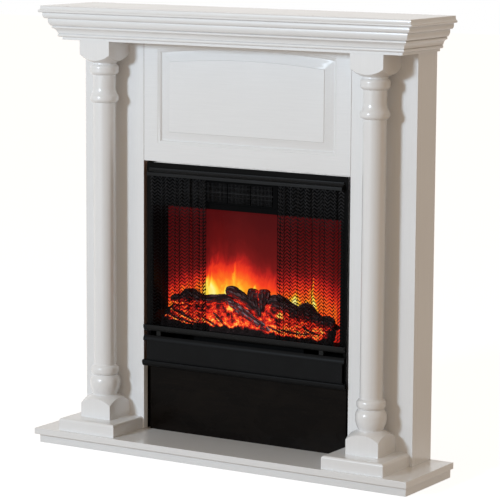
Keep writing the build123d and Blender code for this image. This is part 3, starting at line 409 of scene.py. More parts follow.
def powder_coat(name, colour, low, high, pebble, shine):
    """A pebbled skin, finer where pebble is larger, with a roughness between low and high."""
    material, tree, surface = new_finish(name)
    skin = noise_node(tree, even, pebble, 2.0, 0.5)
    cloud = noise_node(tree, even, 14.0, 3.0, 0.5)
    pale = tuple(min(1.0, v * 1.35) for v in colour)
    tint = ramp_node(tree, cloud, [(0.35, colour), (0.7, pale)])
    dress(tree, surface, tint, spread(tree, cloud, low, high), bump_node(tree, skin, 0.3, 0.0002), shine)
    return material


satin_black = powder_coat("satin_black_powder", (0.0037, 0.0037, 0.0039), 0.34, 0.46, 1400.0, 0.07)
# A paler copy of the same coat for the fender: painted light, for the light that catches its lips.
fender_black_lit = powder_coat("fender_black_powder", (0.0062, 0.0062, 0.0062), 0.34, 0.46, 1400.0, 0.10)
matt_black = powder_coat("matt_black_powder", (0.0014, 0.0014, 0.0015), 0.5, 0.62, 1400.0, 0.02)
gloss_black = powder_coat("gloss_black_enamel", (0.0012, 0.0010, 0.0010), 0.2, 0.3, 300.0, 0.12)
# A darker copy of the coat for the front frame: painted shade, for the shadow under the frieze.
frame_black_shaded = powder_coat("frame_black_powder", (0.0026, 0.0024, 0.0023), 0.42, 0.55, 1400.0, 0.035)
hood_black = powder_coat("hood_black_powder", (0.0040, 0.0040, 0.0042), 0.30, 0.40, 1400.0, 0.13)
for name in ("door_panel", "door_rails"):
    finish_node(name, satin_black, 0.0004)
finish_node("fender", fender_black_lit, 0.0004)
finish_node("front_frame", frame_black_shaded, 0.0004)
finish_node("hood", hood_black, 0.0004)
for name in ("vent_fascia", "outlet_grille", "curtain_rod", "rod_stops", "firebox_floor"):
    finish_node(name, matt_black)
finish_node("side_liners", gloss_black)


# ---------- galvanised case and fixings
# Folded zinc-coated sheet with its frosted spangle, painted black inside as painted shade, and the
# metal that goes with it: brackets, plated screws, pins and motors, a bright spindle and a heat-darkened
# heater.

galvanised, tree, surface = new_finish("galvanised_sheet")
spangle = new_node(tree, "TexVoronoi", {"Vector": object_pattern(tree), "Scale": 95.0})
facet = new_node(tree, "SeparateColor", {0: spangle.outputs["Color"]})
zinc = ramp_node(tree, facet.outputs[0], [(0.0, (0.42, 0.43, 0.44)), (1.0, (0.60, 0.61, 0.62))])
dress(tree, surface, zinc, range_node(tree, facet.outputs[1], 0.0, 1.0, 0.3, 0.48))
set_inputs(tree, surface, {"Metallic": 1.0})
finish_node("wall_brackets", galvanised)

# The case is black on the faces that look in towards its middle and on its front lip: painted shade.
lip_depth = 0.0016
galvanised_case, tree, surface = changed_finish(galvanised, "galvanised_case_sheet")
case_low, case_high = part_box("case_shell")
place = object_pattern(tree)
from_middle = new_node(tree, "VectorMath", {0: place, 1: (case_low + case_high) / 2})
from_middle.operation = "SUBTRACT"
normal = new_node(tree, "NewGeometry", {}).outputs["True Normal"]
outward = new_node(tree, "VectorMath", {0: normal, 1: from_middle.outputs["Vector"]})
outward.operation = "DOT_PRODUCT"
looks_in_shade = maths(tree, "LESS_THAN", outward.outputs["Value"], 0.0)
front_lip_shade = maths(tree, "LESS_THAN", split_axes(tree, place)["Y"], case_low.y + lip_depth)
tint_where(tree, surface, maths(tree, "MAXIMUM", looks_in_shade, front_lip_shade), (0.004, 0.004, 0.004))
for name in ("case_shell", "case_back"):
    finish_node(name, galvanised_case)


def settled():
    """The new piece, with its place, turn and size moved into its mesh."""
    bpy.ops.object.transform_apply(location=True, rotation=True, scale=True)
    return bpy.context.object


def add_box(middle, size):
    deselect_all()
    bpy.ops.mesh.primitive_cube_add(size=1.0, location=middle, scale=size)
    return settled()


def join_as(name, pieces):
    """Joins pieces into one object at the origin."""
    deselect_all()
    for piece in pieces:
        piece.select_set(True)
    bpy.context.view_layer.objects.active = pieces[0]
    if len(pieces) > 1:
        bpy.ops.object.join()
    bpy.context.object.name = name
    return settled()


def thicken(piece, thickness):
    """Gives a sheet a thickness, behind its faces."""
    wall = piece.modifiers.new("wall", "SOLIDIFY")
    wall.thickness = thickness
    wall.offset = -1.0
    bpy.ops.object.modifier_apply(modifier="wall")


def round_corners(piece, width, segments):
    rounded = piece.modifiers.new("rounded", "BEVEL")
    rounded.width = width
    rounded.segments = segments
    bpy.ops.object.modifier_apply(modifier="rounded")


def finish_piece(piece, material, angle=38):
    """Paints a piece made here and shades it smooth, apart from edges sharper than an angle."""
    piece.data.materials.clear()
    piece.data.materials.append(material)
    deselect_all()
    piece.select_set(True)
    bpy.context.view_layer.objects.active = piece
    bpy.ops.object.shade_smooth_by_angle(angle=math.radians(angle))


# A louvre hood is pressed out of the cover over each cooling slot, open below.
slot_columns = (-0.120, -0.060, 0.0, 0.060, 0.120)
slot_heights = (0.230, 0.244, 0.606, 0.620, 0.634, 0.648)
hood_size = (0.044, 0.0024, 0.0064)
hood_rise = 0.0018
cover_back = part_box("case_back")[1].y
hoods = []
for slot_x in slot_columns:
    for slot_z in slot_heights:
        hood = add_box((slot_x, cover_back + hood_size[1] / 2, slot_z + hood_rise), hood_size)
        for face in hood.data.polygons:
            face.select = face.normal.y < -0.9 or face.normal.z < -0.9
        for edge in hood.data.edges:
            edge.select = False
        bpy.context.tool_settings.mesh_select_mode = (False, False, True)
        bpy.ops.object.mode_set(mode="EDIT")
        bpy.ops.mesh.delete(type="ONLY_FACE")
        bpy.ops.object.mode_set(mode="OBJECT")
        hoods.append(hood)
louvres = join_as("cooling_louvres", hoods)
thicken(louvres, 0.0005)
round_corners(louvres, 0.0004, 2)
finish_piece(louvres, galvanised_case)
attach(louvres, "suite")


def patchy_metal(name, stretch, scale, detail, dark, pale, smooth, rough, metallic=1.0, shine=0.5):
    """Metal whose colour and roughness drift together between two looks."""
    material, tree, surface = new_finish(name)
    patches = noise_node(tree, stretch, scale, detail)
    tint = ramp_node(tree, patches, [(0.3, dark), (0.7, pale)])
    dress(tree, surface, tint, spread(tree, patches, smooth, rough), None, shine)
    set_inputs(tree, surface, {"Metallic": metallic})
    return material


plated = patchy_metal(
    "plated_steel", even, 700.0, 2.0, (0.50, 0.50, 0.50), (0.66, 0.66, 0.65), 0.25, 0.4)
rolled_aluminium = patchy_metal(
    "bright_aluminium", (40.0, 900.0, 900.0), 1.0, 2.0, (0.72, 0.72, 0.73), (0.86, 0.86, 0.87), 0.14, 0.26)
heat_darkened = patchy_metal(
    "heat_darkened_steel", even, 60.0, 3.0, (0.0020, 0.0018, 0.0018), (0.0060, 0.0048, 0.0045),
    0.4, 0.6, metallic=0.0, shine=0.06)
for name in ("case_screws", "bracket_screws", "hinge_pins", "spindle_motor", "blower_motor"):
    finish_node(name, plated)
finish_node("flame_spindle", rolled_aluminium)
for name in ("blower_wheel", "heating_element", "heater_housing"):
    finish_node(name, heat_darkened)


# ---------- plastic controls and board
# Moulded black plastic with a fine spark texture, a printed black panel behind it, a soft rubber
# bush for the lead, and green glass-fibre boards for the circuit and the lamps.

moulded_black = powder_coat("moulded_black_plastic", (0.0090, 0.0090, 0.0095), 0.42, 0.55, 900.0, 0.3)
for name in ("power_switch", "heat_switch"):
    finish_node(name, moulded_black, 0.0004)

scale_inner = 0.0160
scale_outer = 0.0185
lines_per_turn = 12


def printed_scale(tree, middle):
    """1 on short printed lines round a knob, over the three quarters of a turn that it makes."""
    place = split_axes(tree, object_pattern(tree))
    side = maths(tree, "SUBTRACT", place["X"], middle.x)
    up = maths(tree, "SUBTRACT", place["Z"], middle.z)
    reach_squared = added(tree, times(tree, side, side), times(tree, up, up))
    ring = inside_range(tree, reach_squared, scale_inner ** 2, scale_outer ** 2)
    turn = maths(tree, "ARCTAN2", side, up)
    count = added(tree, times(tree, turn, lines_per_turn / math.tau), 0.5)
    line = inside_range(tree, maths(tree, "FRACT", count), 0.43, 0.57)
    unused = inside_range(tree, turn, math.radians(6), math.radians(84))
    used = maths(tree, "LESS_THAN", unused, 0.5)
    return times(tree, times(tree, ring, line), used)


def index_line(tree, low, high):
    """1 on a printed line that runs up the face of a knob from near its middle."""
    middle = (low + high) / 2
    place = split_axes(tree, object_pattern(tree))
    across = inside_range(tree, place["X"], middle.x - 0.0008, middle.x + 0.0008)
    along = inside_range(tree, place["Z"], middle.z + 0.0040, high.z - 0.0022)
    face = maths(tree, "LESS_THAN", place["Y"], low.y + 0.0012)
    return times(tree, times(tree, across, along), face)


# The panel's black is darker than the knobs' plastic: painted shade, for the shadowed slot it shows through.
printed_panel, tree, surface = opened(
    powder_coat("printed_black_panel", (0.0022, 0.0022, 0.0023), 0.50, 0.62, 900.0, 0.04))
for name in ("flame_knob", "thermostat_knob"):
    low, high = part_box(name)
    tint_where(tree, surface, printed_scale(tree, (low + high) / 2), (0.55, 0.55, 0.54))
    knob_plastic, knob_tree, knob_surface = changed_finish(moulded_black, name + "_plastic")
    tint_where(knob_tree, knob_surface, index_line(knob_tree, low, high), (0.60, 0.60, 0.58))
    finish_node(name, knob_plastic, 0.0004)
finish_node("control_panel", printed_panel, 0.0004)
soft_rubber = powder_coat("soft_black_rubber", (0.0095, 0.0095, 0.0095), 0.7, 0.85, 500.0, 0.25)
finish_node("cable_gland", soft_rubber)

green_board, tree, surface = new_finish("green_circuit_board")
tracks = new_node(tree, "TexBrick", {
    "Vector": object_pattern(tree),
    "Scale": 60.0,
    "Color1": (0.010, 0.10, 0.045, 1.0),
    "Color2": (0.014, 0.13, 0.06, 1.0),
    "Mortar": (0.03, 0.20, 0.09, 1.0),
})
set_inputs(tree, surface, {"Base Color": tracks.outputs["Color"], "Roughness": 0.35})
for name in ("circuit_board", "led_strip"):
    finish_node(name, green_board)


# ---------- black seals beside the fire, as painted shade
# Strips of black foam, stuck to the cheeks of the opening, that close the gap left for fitting the
# metal case and the board under it: dark pieces put in as painted shade for that shadowed gap.
# The shelf between them keeps them apart.

touch = 0.0001
clear = 0.0002
cheek_x = face_board_low.x - touch
case_x = case_high.x + touch
shelf_low, shelf_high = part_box("insert_shelf")
board_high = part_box("lower_board")[1]
hearth_top_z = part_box("hearth_top")[1].z
# Each strip on the right-hand side: where it starts and ends across, front to back and upwards.
strip_plans = [
    (case_x, cheek_x, 0.0510, 0.0610, shelf_high.z + clear, case_high.z),
    (board_high.x - 0.0020, cheek_x, board_high.y + clear, 0.0590, hearth_top_z, shelf_low.z - clear),
]
strips = []
for side in (-1, 1):
    for x0, x1, y0, y1, z0, z1 in strip_plans:
        middle = (side * (x0 + x1) / 2, (y0 + y1) / 2, (z0 + z1) / 2)
        strips.append(add_box(middle, (x1 - x0, y1 - y0, z1 - z0)))
# The strips are painted shade: dark pieces that fill the shadowed gap beside the fire.
shade_seal = join_as("gap_seal", strips)
round_corners(shade_seal, 0.0012, 3)
finish_piece(shade_seal, soft_rubber)
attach(shade_seal, "suite")


# ---------- chain-mesh curtains
# Two curtains of blackened steel wire. Each row is a zigzag of doubled wire hooked into the next,
# and the mesh hangs in loose folds from split rings on the rod, painted darker where it is low.

blackened_wire, tree, surface = new_finish("blackened_wire")
scale_marks = noise_node(tree, even, 420.0, 3.0, 0.6)
height = split_axes(tree, object_pattern(tree))["Z"]
wire_tone = ramp_node(tree, scale_marks, [(0.35, (0.016, 0.016, 0.017)), (0.65, (0.042, 0.043, 0.046))])
# The wire's colour is painted darker where it hangs low, in front of the fire.
low_darkening = tree.nodes.new("ShaderNodeVectorMath")
low_darkening.operation = "SCALE"
set_inputs(tree, low_darkening, {0: wire_tone, "Scale": range_node(tree, height, 0.55, 0.61, 0.10, 1.0)})
dress(tree, surface, low_darkening.outputs[0], spread(tree, scale_marks, 0.4, 0.6), None, 0.06)

leg_length = 0.0072
row_pitch = 0.0080
zigzag_depth = 0.0062
wire_radius = 0.00082
fold_depth = 0.0042
steps_per_fold = 24


def fold_line(fixed_x, hem_x, fold_widths, middle_y):
    """Points a leg's length apart along the folded mesh, seen from above."""
    fine = []
    x = fixed_x
    way = 1.0 if hem_x > fixed_x else -1.0
    side = 1.0
    for width in fold_widths:
        for step in range(steps_per_fold):
            share = step / steps_per_fold
            swing = math.sin(math.pi * share)
            fine.append(Vector((x + way * width * share, middle_y - side * fold_depth * swing)))
        x += way * width
        side = -side
    fine.append(Vector((x, middle_y)))
    stretch = (hem_x - fixed_x) / (x - fixed_x)
    fine = [Vector((fixed_x + (p.x - fixed_x) * stretch, p.y)) for p in fine]
    total = sum((b - a).length for a, b in zip(fine, fine[1:]))
    legs = max(4, round(total / leg_length))
    points = [fine[0]]
    walked = 0.0
    for a, b in zip(fine, fine[1:]):
        piece_length = (b - a).length
        while len(points) < legs and walked + piece_length >= len(points) * total / legs:
            share = (len(points) * total / legs - walked) / piece_length
            points.append(a.lerp(b, share))
        walked += piece_length
    points.append(fine[-1])
    return points


def open_edges(mesh, wanted):
    """Opens the piece for editing, with only the edges selected whose two ends pass a test."""
    for vertex in mesh.vertices:
        vertex.select = False
    for face in mesh.polygons:
        face.select = False
    for edge in mesh.edges:
        a, b = (mesh.vertices[i].co for i in edge.vertices)
        edge.select = wanted(a, b)
    bpy.context.tool_settings.mesh_select_mode = (False, True, False)
    bpy.ops.object.mode_set(mode="EDIT")


def zigzag_rows(name, line, top_z, bottom_z, drop, back):
    """One wire per row, bent up and down from leg to leg along the folded line."""
    rows = int((top_z - bottom_z - zigzag_depth) / row_pitch)
    columns = len(line) - 1
    deselect_all()
    bpy.ops.mesh.primitive_grid_add(x_subdivisions=columns, y_subdivisions=rows, size=2.0)
    bpy.context.object.name = name
    mesh = bpy.context.object.data
    for vertex in mesh.vertices:
        column = round((vertex.co.x + 1.0) / 2.0 * columns)
        row = round((1.0 - vertex.co.y) / 2.0 * rows)
        bend = zigzag_depth / 2 * (1 if column % 2 else -1)
        weave = 0.0005 * (1 if (column + row) % 2 else -1)
        z = top_z - zigzag_depth / 2 - row * row_pitch + bend - drop
        vertex.co = (line[column].x, line[column].y + back + weave, z)
    open_edges(mesh, lambda a, b: abs(a.x - b.x) < 1e-7)
    bpy.ops.mesh.delete(type="EDGE_FACE")
    bpy.ops.object.mode_set(mode="OBJECT")
    bpy.ops.object.convert(target="CURVE")
    wire = bpy.context.object.data
    wire.bevel_depth = wire_radius
    wire.bevel_resolution = 0
    wire.use_fill_caps = True
    bpy.ops.object.convert(target="MESH")
    return bpy.context.object


def add_wire(sides, radius, length, middle, lean=0.0):
    """A straight round wire, upright or leaning by some degrees towards X."""
    deselect_all()
    bpy.ops.mesh.primitive_cylinder_add(
        vertices=sides, radius=radius, depth=length, location=middle, rotation=(0.0, math.radians(lean), 0.0))
    return settled()


rod_low, rod_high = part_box("curtain_rod")
rod_y = (rod_low.y + rod_high.y) / 2
rod_z = (rod_low.z + rod_high.z) / 2
ring_radius = 0.0034
ring_wire = 0.0006
ring_drop = 0.0012


def split_rings(places):
    """Small rings round the rod that the mesh's top row hooks on to."""
    rings = []
    for x in places:
        deselect_all()
        bpy.ops.mesh.primitive_torus_add(
            location=(x, rod_y, rod_z - ring_drop), rotation=(0.0, math.radians(90), 0.0),
            major_segments=18, minor_segments=6, major_radius=ring_radius, minor_radius=ring_wire)
        rings.append(settled())
    return rings


# Each curtain's folds in mm, from its fixed end to its hem.
curtain_plans = {
    "left_curtain": [16, 13, 5, 5, 15, 12, 5, 5, 16, 11, 5, 5, 12, 5, 5, 5, 6],
    "right_curtain": [14, 5, 5, 15, 12, 5, 5, 16, 5, 5, 13, 15, 5, 5, 14, 12, 5, 5, 5, 6],
}
front_layer = -0.0003
rear_layer = 0.0005
layer_drop = 0.0019
stem_radius = 0.0006
clip_radius = 0.0012
clip_length = 0.004
clip_pitch = 0.0315
clip_count = 12
for name, fold_widths in curtain_plans.items():
    low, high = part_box(name)
    lead = name + "_lead"
    lead_low, lead_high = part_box(lead)
    fixed_x, hem_x = (low.x, high.x) if name.startswith("left") else (high.x, low.x)
    line = fold_line(fixed_x, hem_x, [w / 1000 for w in fold_widths], rod_y)
    front = zigzag_rows(name + "_front", line, high.z, low.z, 0.0, front_layer)
    rear = zigzag_rows(name + "_rear", line, high.z, low.z, layer_drop, rear_layer)
    ring_places = [fixed_x + (hem_x - fixed_x) * share for share in (0.06, 0.27, 0.48, 0.69, 0.9)]
    curtain = join_as(name + "_mesh", [front, rear] + split_rings(ring_places))
    finish_piece(curtain, blackened_wire, 60)
    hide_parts(name)
    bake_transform(curtain)

    # The hem is a stem wire with clips round it, hung on a ring of its own.
    lead_x = (lead_low.x + lead_high.x) / 2
    stem_length = high.z - lead_low.z - 0.002
    hem_parts = [add_wire(10, stem_radius, stem_length, (lead_x, rod_y, (high.z + lead_low.z) / 2))]
    for count in range(clip_count):
        clip_place = (lead_x, rod_y, high.z - 0.006 - count * clip_pitch)
        hem_parts.append(add_wire(10, clip_radius, clip_length, clip_place))
    hem = join_as(lead + "_wire", hem_parts + split_rings([lead_x]))
    round_corners(hem, 0.0003, 1)
    finish_piece(hem, matt_black)
    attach(hem, lead)
    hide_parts(lead)


# ---------- guard over the warm-air outlet
# A fine guard of blackened wire behind the outlet's frame: upright wires, all welded to one
# cross wire that runs behind them at half their height.

outlet_low, outlet_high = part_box("outlet_grille")
outlet_middle = (outlet_low + outlet_high) / 2
outlet_size = outlet_high - outlet_low
guard_pitch = 0.0037
side_margin = 0.005
end_margin = 0.003
upright_radius = 0.00055
cross_radius = 0.0007
guard_count = int((outlet_size.x - 2 * side_margin) / guard_pitch)
first_upright = (outlet_low.x + side_margin, outlet_high.y + 0.0009, outlet_middle.z)
uprights = add_wire(6, upright_radius, outlet_size.z - 2 * end_margin, first_upright)
row = uprights.modifiers.new("row", "ARRAY")
row.count = guard_count
row.use_relative_offset = False
row.use_constant_offset = True
row.constant_offset_displace = (guard_pitch, 0.0, 0.0)
bpy.ops.object.modifier_apply(modifier="row")
cross_place = (outlet_middle.x, outlet_high.y + 0.0019, outlet_middle.z)
cross_wire = add_wire(6, cross_radius, outlet_size.x - 2 * end_margin, cross_place, 90)
guard = join_as("outlet_guard", [uprights, cross_wire])
finish_piece(guard, blackened_wire, 60)
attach(guard, "suite")


# ---------- log set and embers
# A hollow translucent resin moulding in several parts, cast from real charred logs and clinker:
# the crust is painted charcoal and purple-grey, and the lamps under it glow red to yellow
# wherever the paint is thin, in the cracks and between the coals.

bed_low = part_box("ember_bed")[0]


def bed_place(x, back, up):
    """A place in the fire: x from its middle, back from the bed's front, up from its foot, in mm."""
    return Vector((x / 1000, bed_low.y + back / 1000, bed_low.z + up / 1000))


def glow_finish(name, char_low, char_high):
    """Charcoal crust over a glowing body; painted attributes set the heat, and the bark's ridges with a
    painted highlight on top of the logs.
    """
    material, tree, surface = new_finish(name)
    heat = tree.nodes.new("ShaderNodeAttribute")
    heat.attribute_name = "glow"
    bark = tree.nodes.new("ShaderNodeAttribute")
    bark.attribute_name = "bark"
    fine = noise_node(tree, even, 430.0, 3.0, 0.6, 0.4)
    medium = noise_node(tree, even, 190.0, 3.0, 0.6, 0.9)
    coarse = noise_node(tree, even, 78.0, 2.0, 0.55, 1.2)
    mottle = added(tree, spread(tree, fine, -0.20, 0.20), spread(tree, medium, -0.20, 0.20))
    mottle = added(tree, mottle, spread(tree, coarse, -0.12, 0.12))
    gate = range_node(tree, heat.outputs["Fac"], 0.20, 0.44, 0.05, 1.0)
    glow = added(tree, heat.outputs["Fac"], times(tree, mottle, gate))
    colour = ramp_node(tree, glow, [
        (0.12, (0.0, 0.0, 0.0)),
        (0.26, (0.030, 0.0016, 0.0016)),
        (0.42, (0.20, 0.0050, 0.0040)),
        (0.58, (0.66, 0.0150, 0.0090)),
        (0.74, (1.0, 0.042, 0.0120)),
        (0.89, (1.0, 0.20, 0.024)),
        (1.02, (1.0, 0.60, 0.10)),
    ])
    set_inputs(tree, surface, {"Emission Color": colour, "Emission Strength": 1.0})
    ridges = added(tree, bark.outputs["Fac"], spread(tree, fine, -0.10, 0.10))
    char_middle = tuple((a + b) / 2.8 for a, b in zip(char_low, char_high))
    tint = ramp_node(tree, ridges, [(0.40, char_low), (0.60, char_middle), (0.82, char_high)])
    bumps = bump_node(tree, added(tree, ridges, fine), 0.5, 0.0010)
    dress(tree, surface, tint, spread(tree, fine, 0.6, 0.85), bumps, 0.12)
    tint_where(tree, surface, range_node(tree, glow, 0.18, 0.46, 0.0, 1.0), (0.010, 0.0015, 0.0012))
    return material


def between(value, low, high):
    """0 below low, 1 above high, and a soft step between."""
    share = max(0.0, min(1.0, (value - low) / (high - low)))
    return share * share * (3 - 2 * share)


def along_spine(stations, share):
    """Place and radius at a share of the way along a log, on a smooth curve through its stations."""
    spans = len(stations) - 1
    span = min(int(share * spans), spans - 1)
    t = share * spans - span
    ends = [stations[max(0, min(spans, span + step))] for step in (-1, 0, 1, 2)]
    weights = (-0.5 * t + t * t - 0.5 * t**3, 1 - 2.5 * t * t + 1.5 * t**3,
               0.5 * t + 2 * t * t - 1.5 * t**3, -0.5 * t * t + 0.5 * t**3)
    place = sum((bed_place(*e[:3]) * w for e, w in zip(ends, weights)), Vector())
    return place, sum(e[3] * w for e, w in zip(ends, weights)) / 1000


def paint(piece, name, values):
    layer = piece.data.attributes.new(name, "FLOAT", "POINT")
    layer.data.foreach_set("value", values)


def cast_log(name, stations, seed, crust, warmth, flat=1.0, cell=0.0075, seam=0.0):
    """A charred log: a tube along its stations with long cells of cracked bark.

    Each station is a place, as bed_place takes it, and a radius in mm. crust is how far down its
    sides the unlit crust comes, from -1 to 1, and warmth how hot the rest is. seam, 1 or -1,
    lights the side that faces right or left."""
    rings = max(40, int(len(stations) * 17))
    deselect_all()
    bpy.ops.mesh.primitive_cylinder_add(vertices=46, radius=1.0, depth=1.0, end_fill_type="TRIFAN")
    log = bpy.context.object
    log.name = name
    open_edges(log.data, lambda a, b: abs(a.z - b.z) > 0.5)
    bpy.ops.mesh.subdivide(number_cuts=rings)
    bpy.ops.object.mode_set(mode="OBJECT")
    places = [bed_place(*station[:3]) for station in stations]
    log_length = sum((b - a).length for a, b in zip(places, places[1:]))
    heats = []
    barks = []
    shift = Vector((seed * 3.7, seed * 1.3, seed * 2.1))
    for vertex in log.data.vertices:
        share = min(1.0, max(0.0, vertex.co.z + 0.5))
        turn = math.atan2(vertex.co.y, vertex.co.x)
        out = min(1.0, math.hypot(vertex.co.x, vertex.co.y))
        place, radius = along_spine(stations, share)
        ahead = along_spine(stations, min(1.0, share + 0.02))[0]
        behind = along_spine(stations, max(0.0, share - 0.02))[0]
        tangent = (ahead - behind).normalized()
        front = Vector((0.0, -1.0, 0.0))
        front = (front - tangent * front.dot(tangent)).normalized()
        over = tangent.cross(front)
        spoke = front * (math.cos(turn) * flat) + over * math.sin(turn)
        length = share * log_length / (cell * 2.3)
        skin = Vector((math.cos(turn) * radius / cell, math.sin(turn) * radius / cell, length)) + shift
        distances = noise.voronoi(skin)[0]
        crack = between(distances[1] - distances[0], 0.02, 0.26)
        lump = noise.noise(place * 40 + spoke * 0.9 + shift)
        ridge = noise.noise(Vector((skin.x * 1.7, skin.y * 1.7, skin.z * 0.35)))
        strand = noise.noise(Vector((skin.x * 2.3 + 5, skin.y * 2.3, skin.z * 0.8)))
        fine = noise.noise(skin * 3.1)
        grow = 1 + 0.20 * lump + 0.10 * ridge
        end = between(share, 0.0, 0.05) * between(1 - share, 0.0, 0.05)
        depth = (1 - crack) * 0.0016 - fine * 0.0004 - strand * 0.0014
        reach = max(0.0, radius * grow * (0.72 + 0.28 * end) - depth * end) * out
        vertex.co = place + spoke * reach
        height = spoke.z + 0.25 * lump + 0.18 * fine
        lit = between(-height, crust - 0.1, crust + 0.35)
        gap = 1 - crack
        ember = 0.32 * gap * (0.3 + warmth) + 0.17 * between(-height, -0.6, 0.3) + 0.10 * max(0.0, ridge)
        heat = lit * (warmth + 0.18 * gap + 0.45 * ridge) + (1 - lit) * ember
        heat += between(spoke.x * seam, 0.45, 0.8) * between(lump + ridge, -0.5, 0.3) * 0.40
        heats.append(max(0.0, heat) * between(-spoke.y, -0.5, 0.1))
        # The bark rises towards the top of each log: a painted highlight where light falls from above.
        barks.append(0.5 + 0.55 * strand + 0.22 * ridge - 0.30 * gap + 0.12 * spoke.z)
    paint(log, "glow", heats)
    paint(log, "bark", barks)
    log.data.update()
    return log


charred = glow_finish("charred_resin", (0.0060, 0.0024, 0.0026), (0.135, 0.078, 0.086))
grey_bark = glow_finish("grey_bark_resin", (0.030, 0.015, 0.018), (0.36, 0.255, 0.295))

# Each station of a log: across, back and up, and its radius there, in mm.
left_log = [
    (-214, 20, 62, 9), (-204, 19, 65, 12), (-187, 18, 66, 13), (-166, 18, 76, 19), (-150, 18, 73, 17),
    (-131, 18, 71, 13), (-100, 19, 73, 12), (-66, 20, 77, 12), (-48, 21, 77, 9),
]
upper_split = [
    (-62, 22, 92, 11), (-46, 21, 97, 14), (-26, 19, 89, 13), (-6, 17, 78, 12), (16, 16, 66, 11),
    (38, 15, 54, 7),
]
lower_split = [
    (-60, 11, 76, 6), (-42, 12, 69, 9), (-25, 11, 61, 10), (-6, 10, 51, 10), (25, 8, 34, 10), (50, 6, 22, 8),
    (72, 5, 13, 4),
]
left_prong = [
    (34, 12, 36, 2), (29, 14, 52, 7), (20, 19, 70, 12), (11, 25, 86, 15), (8, 28, 98, 16), (9, 28, 105, 12),
]
right_prong = [
    (36, 12, 38, 3), (37, 15, 54, 8), (37, 20, 70, 12), (35, 26, 87, 15), (34, 29, 100, 15),
    (34, 29, 107, 12),
]
middle_log = [(46, 30, 73, 13), (66, 28, 80, 19), (90, 27, 74, 18), (112, 26, 65, 17), (132, 25, 57, 14)]
middle_knot = [(122, 22, 56, 11), (141, 20, 63, 19), (157, 19, 65, 22), (174, 18, 59, 17), (192, 18, 47, 12)]
right_log = [(182, 17, 40, 9), (200, 16, 47, 16), (214, 16, 47, 18), (228, 16, 43, 12)]

# Each cast piece: its paint, and the CAD node that it stands for.
casts = [
    (cast_log("log_left_cast", left_log, 1, 0.05, 0.36), charred, "log_left"),
    (cast_log("log_front_upper", upper_split, 2, 0.55, 0.34, 0.8), charred, "log_front"),
    (cast_log("log_front_lower", lower_split, 3, 1.0, 0.60, 0.8), grey_bark, "log_front"),
    (join_as("log_back_cast", [
        cast_log("left_prong", left_prong, 4, 1.3, 0.30, 0.8, seam=1.0),
        cast_log("right_prong", right_prong, 5, 1.3, 0.30, 0.8, seam=-1.0),
    ]), charred, "log_back"),
    (join_as("log_middle_cast", [
        cast_log("middle_log", middle_log, 6, 0.35, 0.36, 0.8),
        cast_log("middle_knot", middle_knot, 7, 0.45, 0.34, 0.8),
    ]), charred, "log_middle"),
    (cast_log("log_right_cast", right_log, 8, 0.45, 0.34, 0.7), charred, "log_right"),
]
for piece, resin, node_name in casts:
    finish_piece(piece, resin, 70)
    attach(piece, "suite")
    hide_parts(node_name)

# The bed's crest: how high it stands at each place across, in mm.
crest_line = [
    (-237, 34), (-222, 44), (-205, 62), (-165, 76), (-130, 70), (-60, 78), (-30, 84), (20, 78), (60, 78),
    (100, 70), (135, 62), (160, 64), (185, 52), (215, 46), (237, 34),
]
# The bed's slope: how far back it is in mm, and up as a share of the crest, at each share of its depth.
slope_line = [
    (0.0, 0.3, 0.0), (0.10, 1.6, 0.11), (0.30, 5.0, 0.30), (0.55, 10.5, 0.62), (0.78, 18.0, 0.93),
    (0.88, 28.0, 1.0), (1.0, 41.0, 1.0),
]
# Each spot in mm: where it is across and up, its half width and half height. The last value is its heat.
hot_spots = [
    (-48, 347, 14.0, 12.0, -0.7),
    (85, 342, 17.0, 11.0, -0.7),
    (-48, 347, 8.5, 7.5, 1.85),
    (86, 342, 11.0, 7.0, 1.85),
    (-226, 312, 4.0, 3.0, 0.8),
]


def read_line(points, value, column):
    for a, b in zip(points, points[1:]):
        if value <= b[0]:
            share = max(0.0, (value - a[0]) / (b[0] - a[0]))
            return a[column] + (b[column] - a[column]) * share
    return points[-1][column]


bed_half_width = 236.0
deselect_all()
bpy.ops.mesh.primitive_grid_add(x_subdivisions=330, y_subdivisions=64, size=2.0)
bed = bpy.context.object
heats = []
barks = []
for vertex in bed.data.vertices:
    x = vertex.co.x * bed_half_width
    share = (vertex.co.y + 1.0) / 2.0
    crest = read_line(crest_line, x, 1)
    back = read_line(slope_line, share, 1)
    up = read_line(slope_line, share, 2) * crest
    place = bed_place(x, back, up)
    distances = noise.voronoi(place * 95)[0]
    crack = between(distances[1] - distances[0], 0.03, 0.4)
    lump = noise.noise(place * 60)
    medium = noise.noise(place * 130 + Vector((4.0, 9.0, 2.0)))
    fine = noise.noise(place * 300 + Vector((1.0, 5.0, 7.0)))
    edge = between(share, 0.02, 0.14) * between(1 - share, 0.0, 0.05)
    swell = (0.0030 * crack + 0.0030 * lump + 0.0012 * fine) * edge
    vertex.co = place + Vector((0.0, -0.75, 0.65)) * swell
    z = place.z * 1000
    foot_z = 300 - 7 * between(x, 25, 120) + 5 * between(x, 190, 225) + 6 * lump
    foot = between(z, foot_z, foot_z + 9)
    sides = between(x, -232, -205) * between(-x, -226, -200)
    vein = noise.noise(Vector((place.x * 55 + place.z * 40, place.z * 110 - place.x * 25, 3.0)))
    body = 0.47 + 0.34 * vein + 0.26 * medium + 0.14 * lump + 0.12 * (1 - crack)
    floor_heat = 0.30 * between(-z, -332, -306) * between(x, -215, -60)
    crust_line = (0.10 + 0.22 * between(-x, 150, 195)) * between(up, crest * 0.55, crest * 0.85)
    heat = foot * sides * (body + floor_heat - crust_line)
    for spot_x, spot_z, wide, tall, strength in hot_spots:
        gone = ((x - spot_x) / wide) ** 2 + ((z - spot_z) / tall) ** 2
        heat += strength * math.exp(-gone)
    heats.append(max(0.0, heat))
    barks.append(0.30 + 0.45 * medium + 0.25 * vein - 0.2 * (1 - crack))
paint(bed, "glow", heats)
paint(bed, "bark", barks)
thicken(bed, 0.0015)
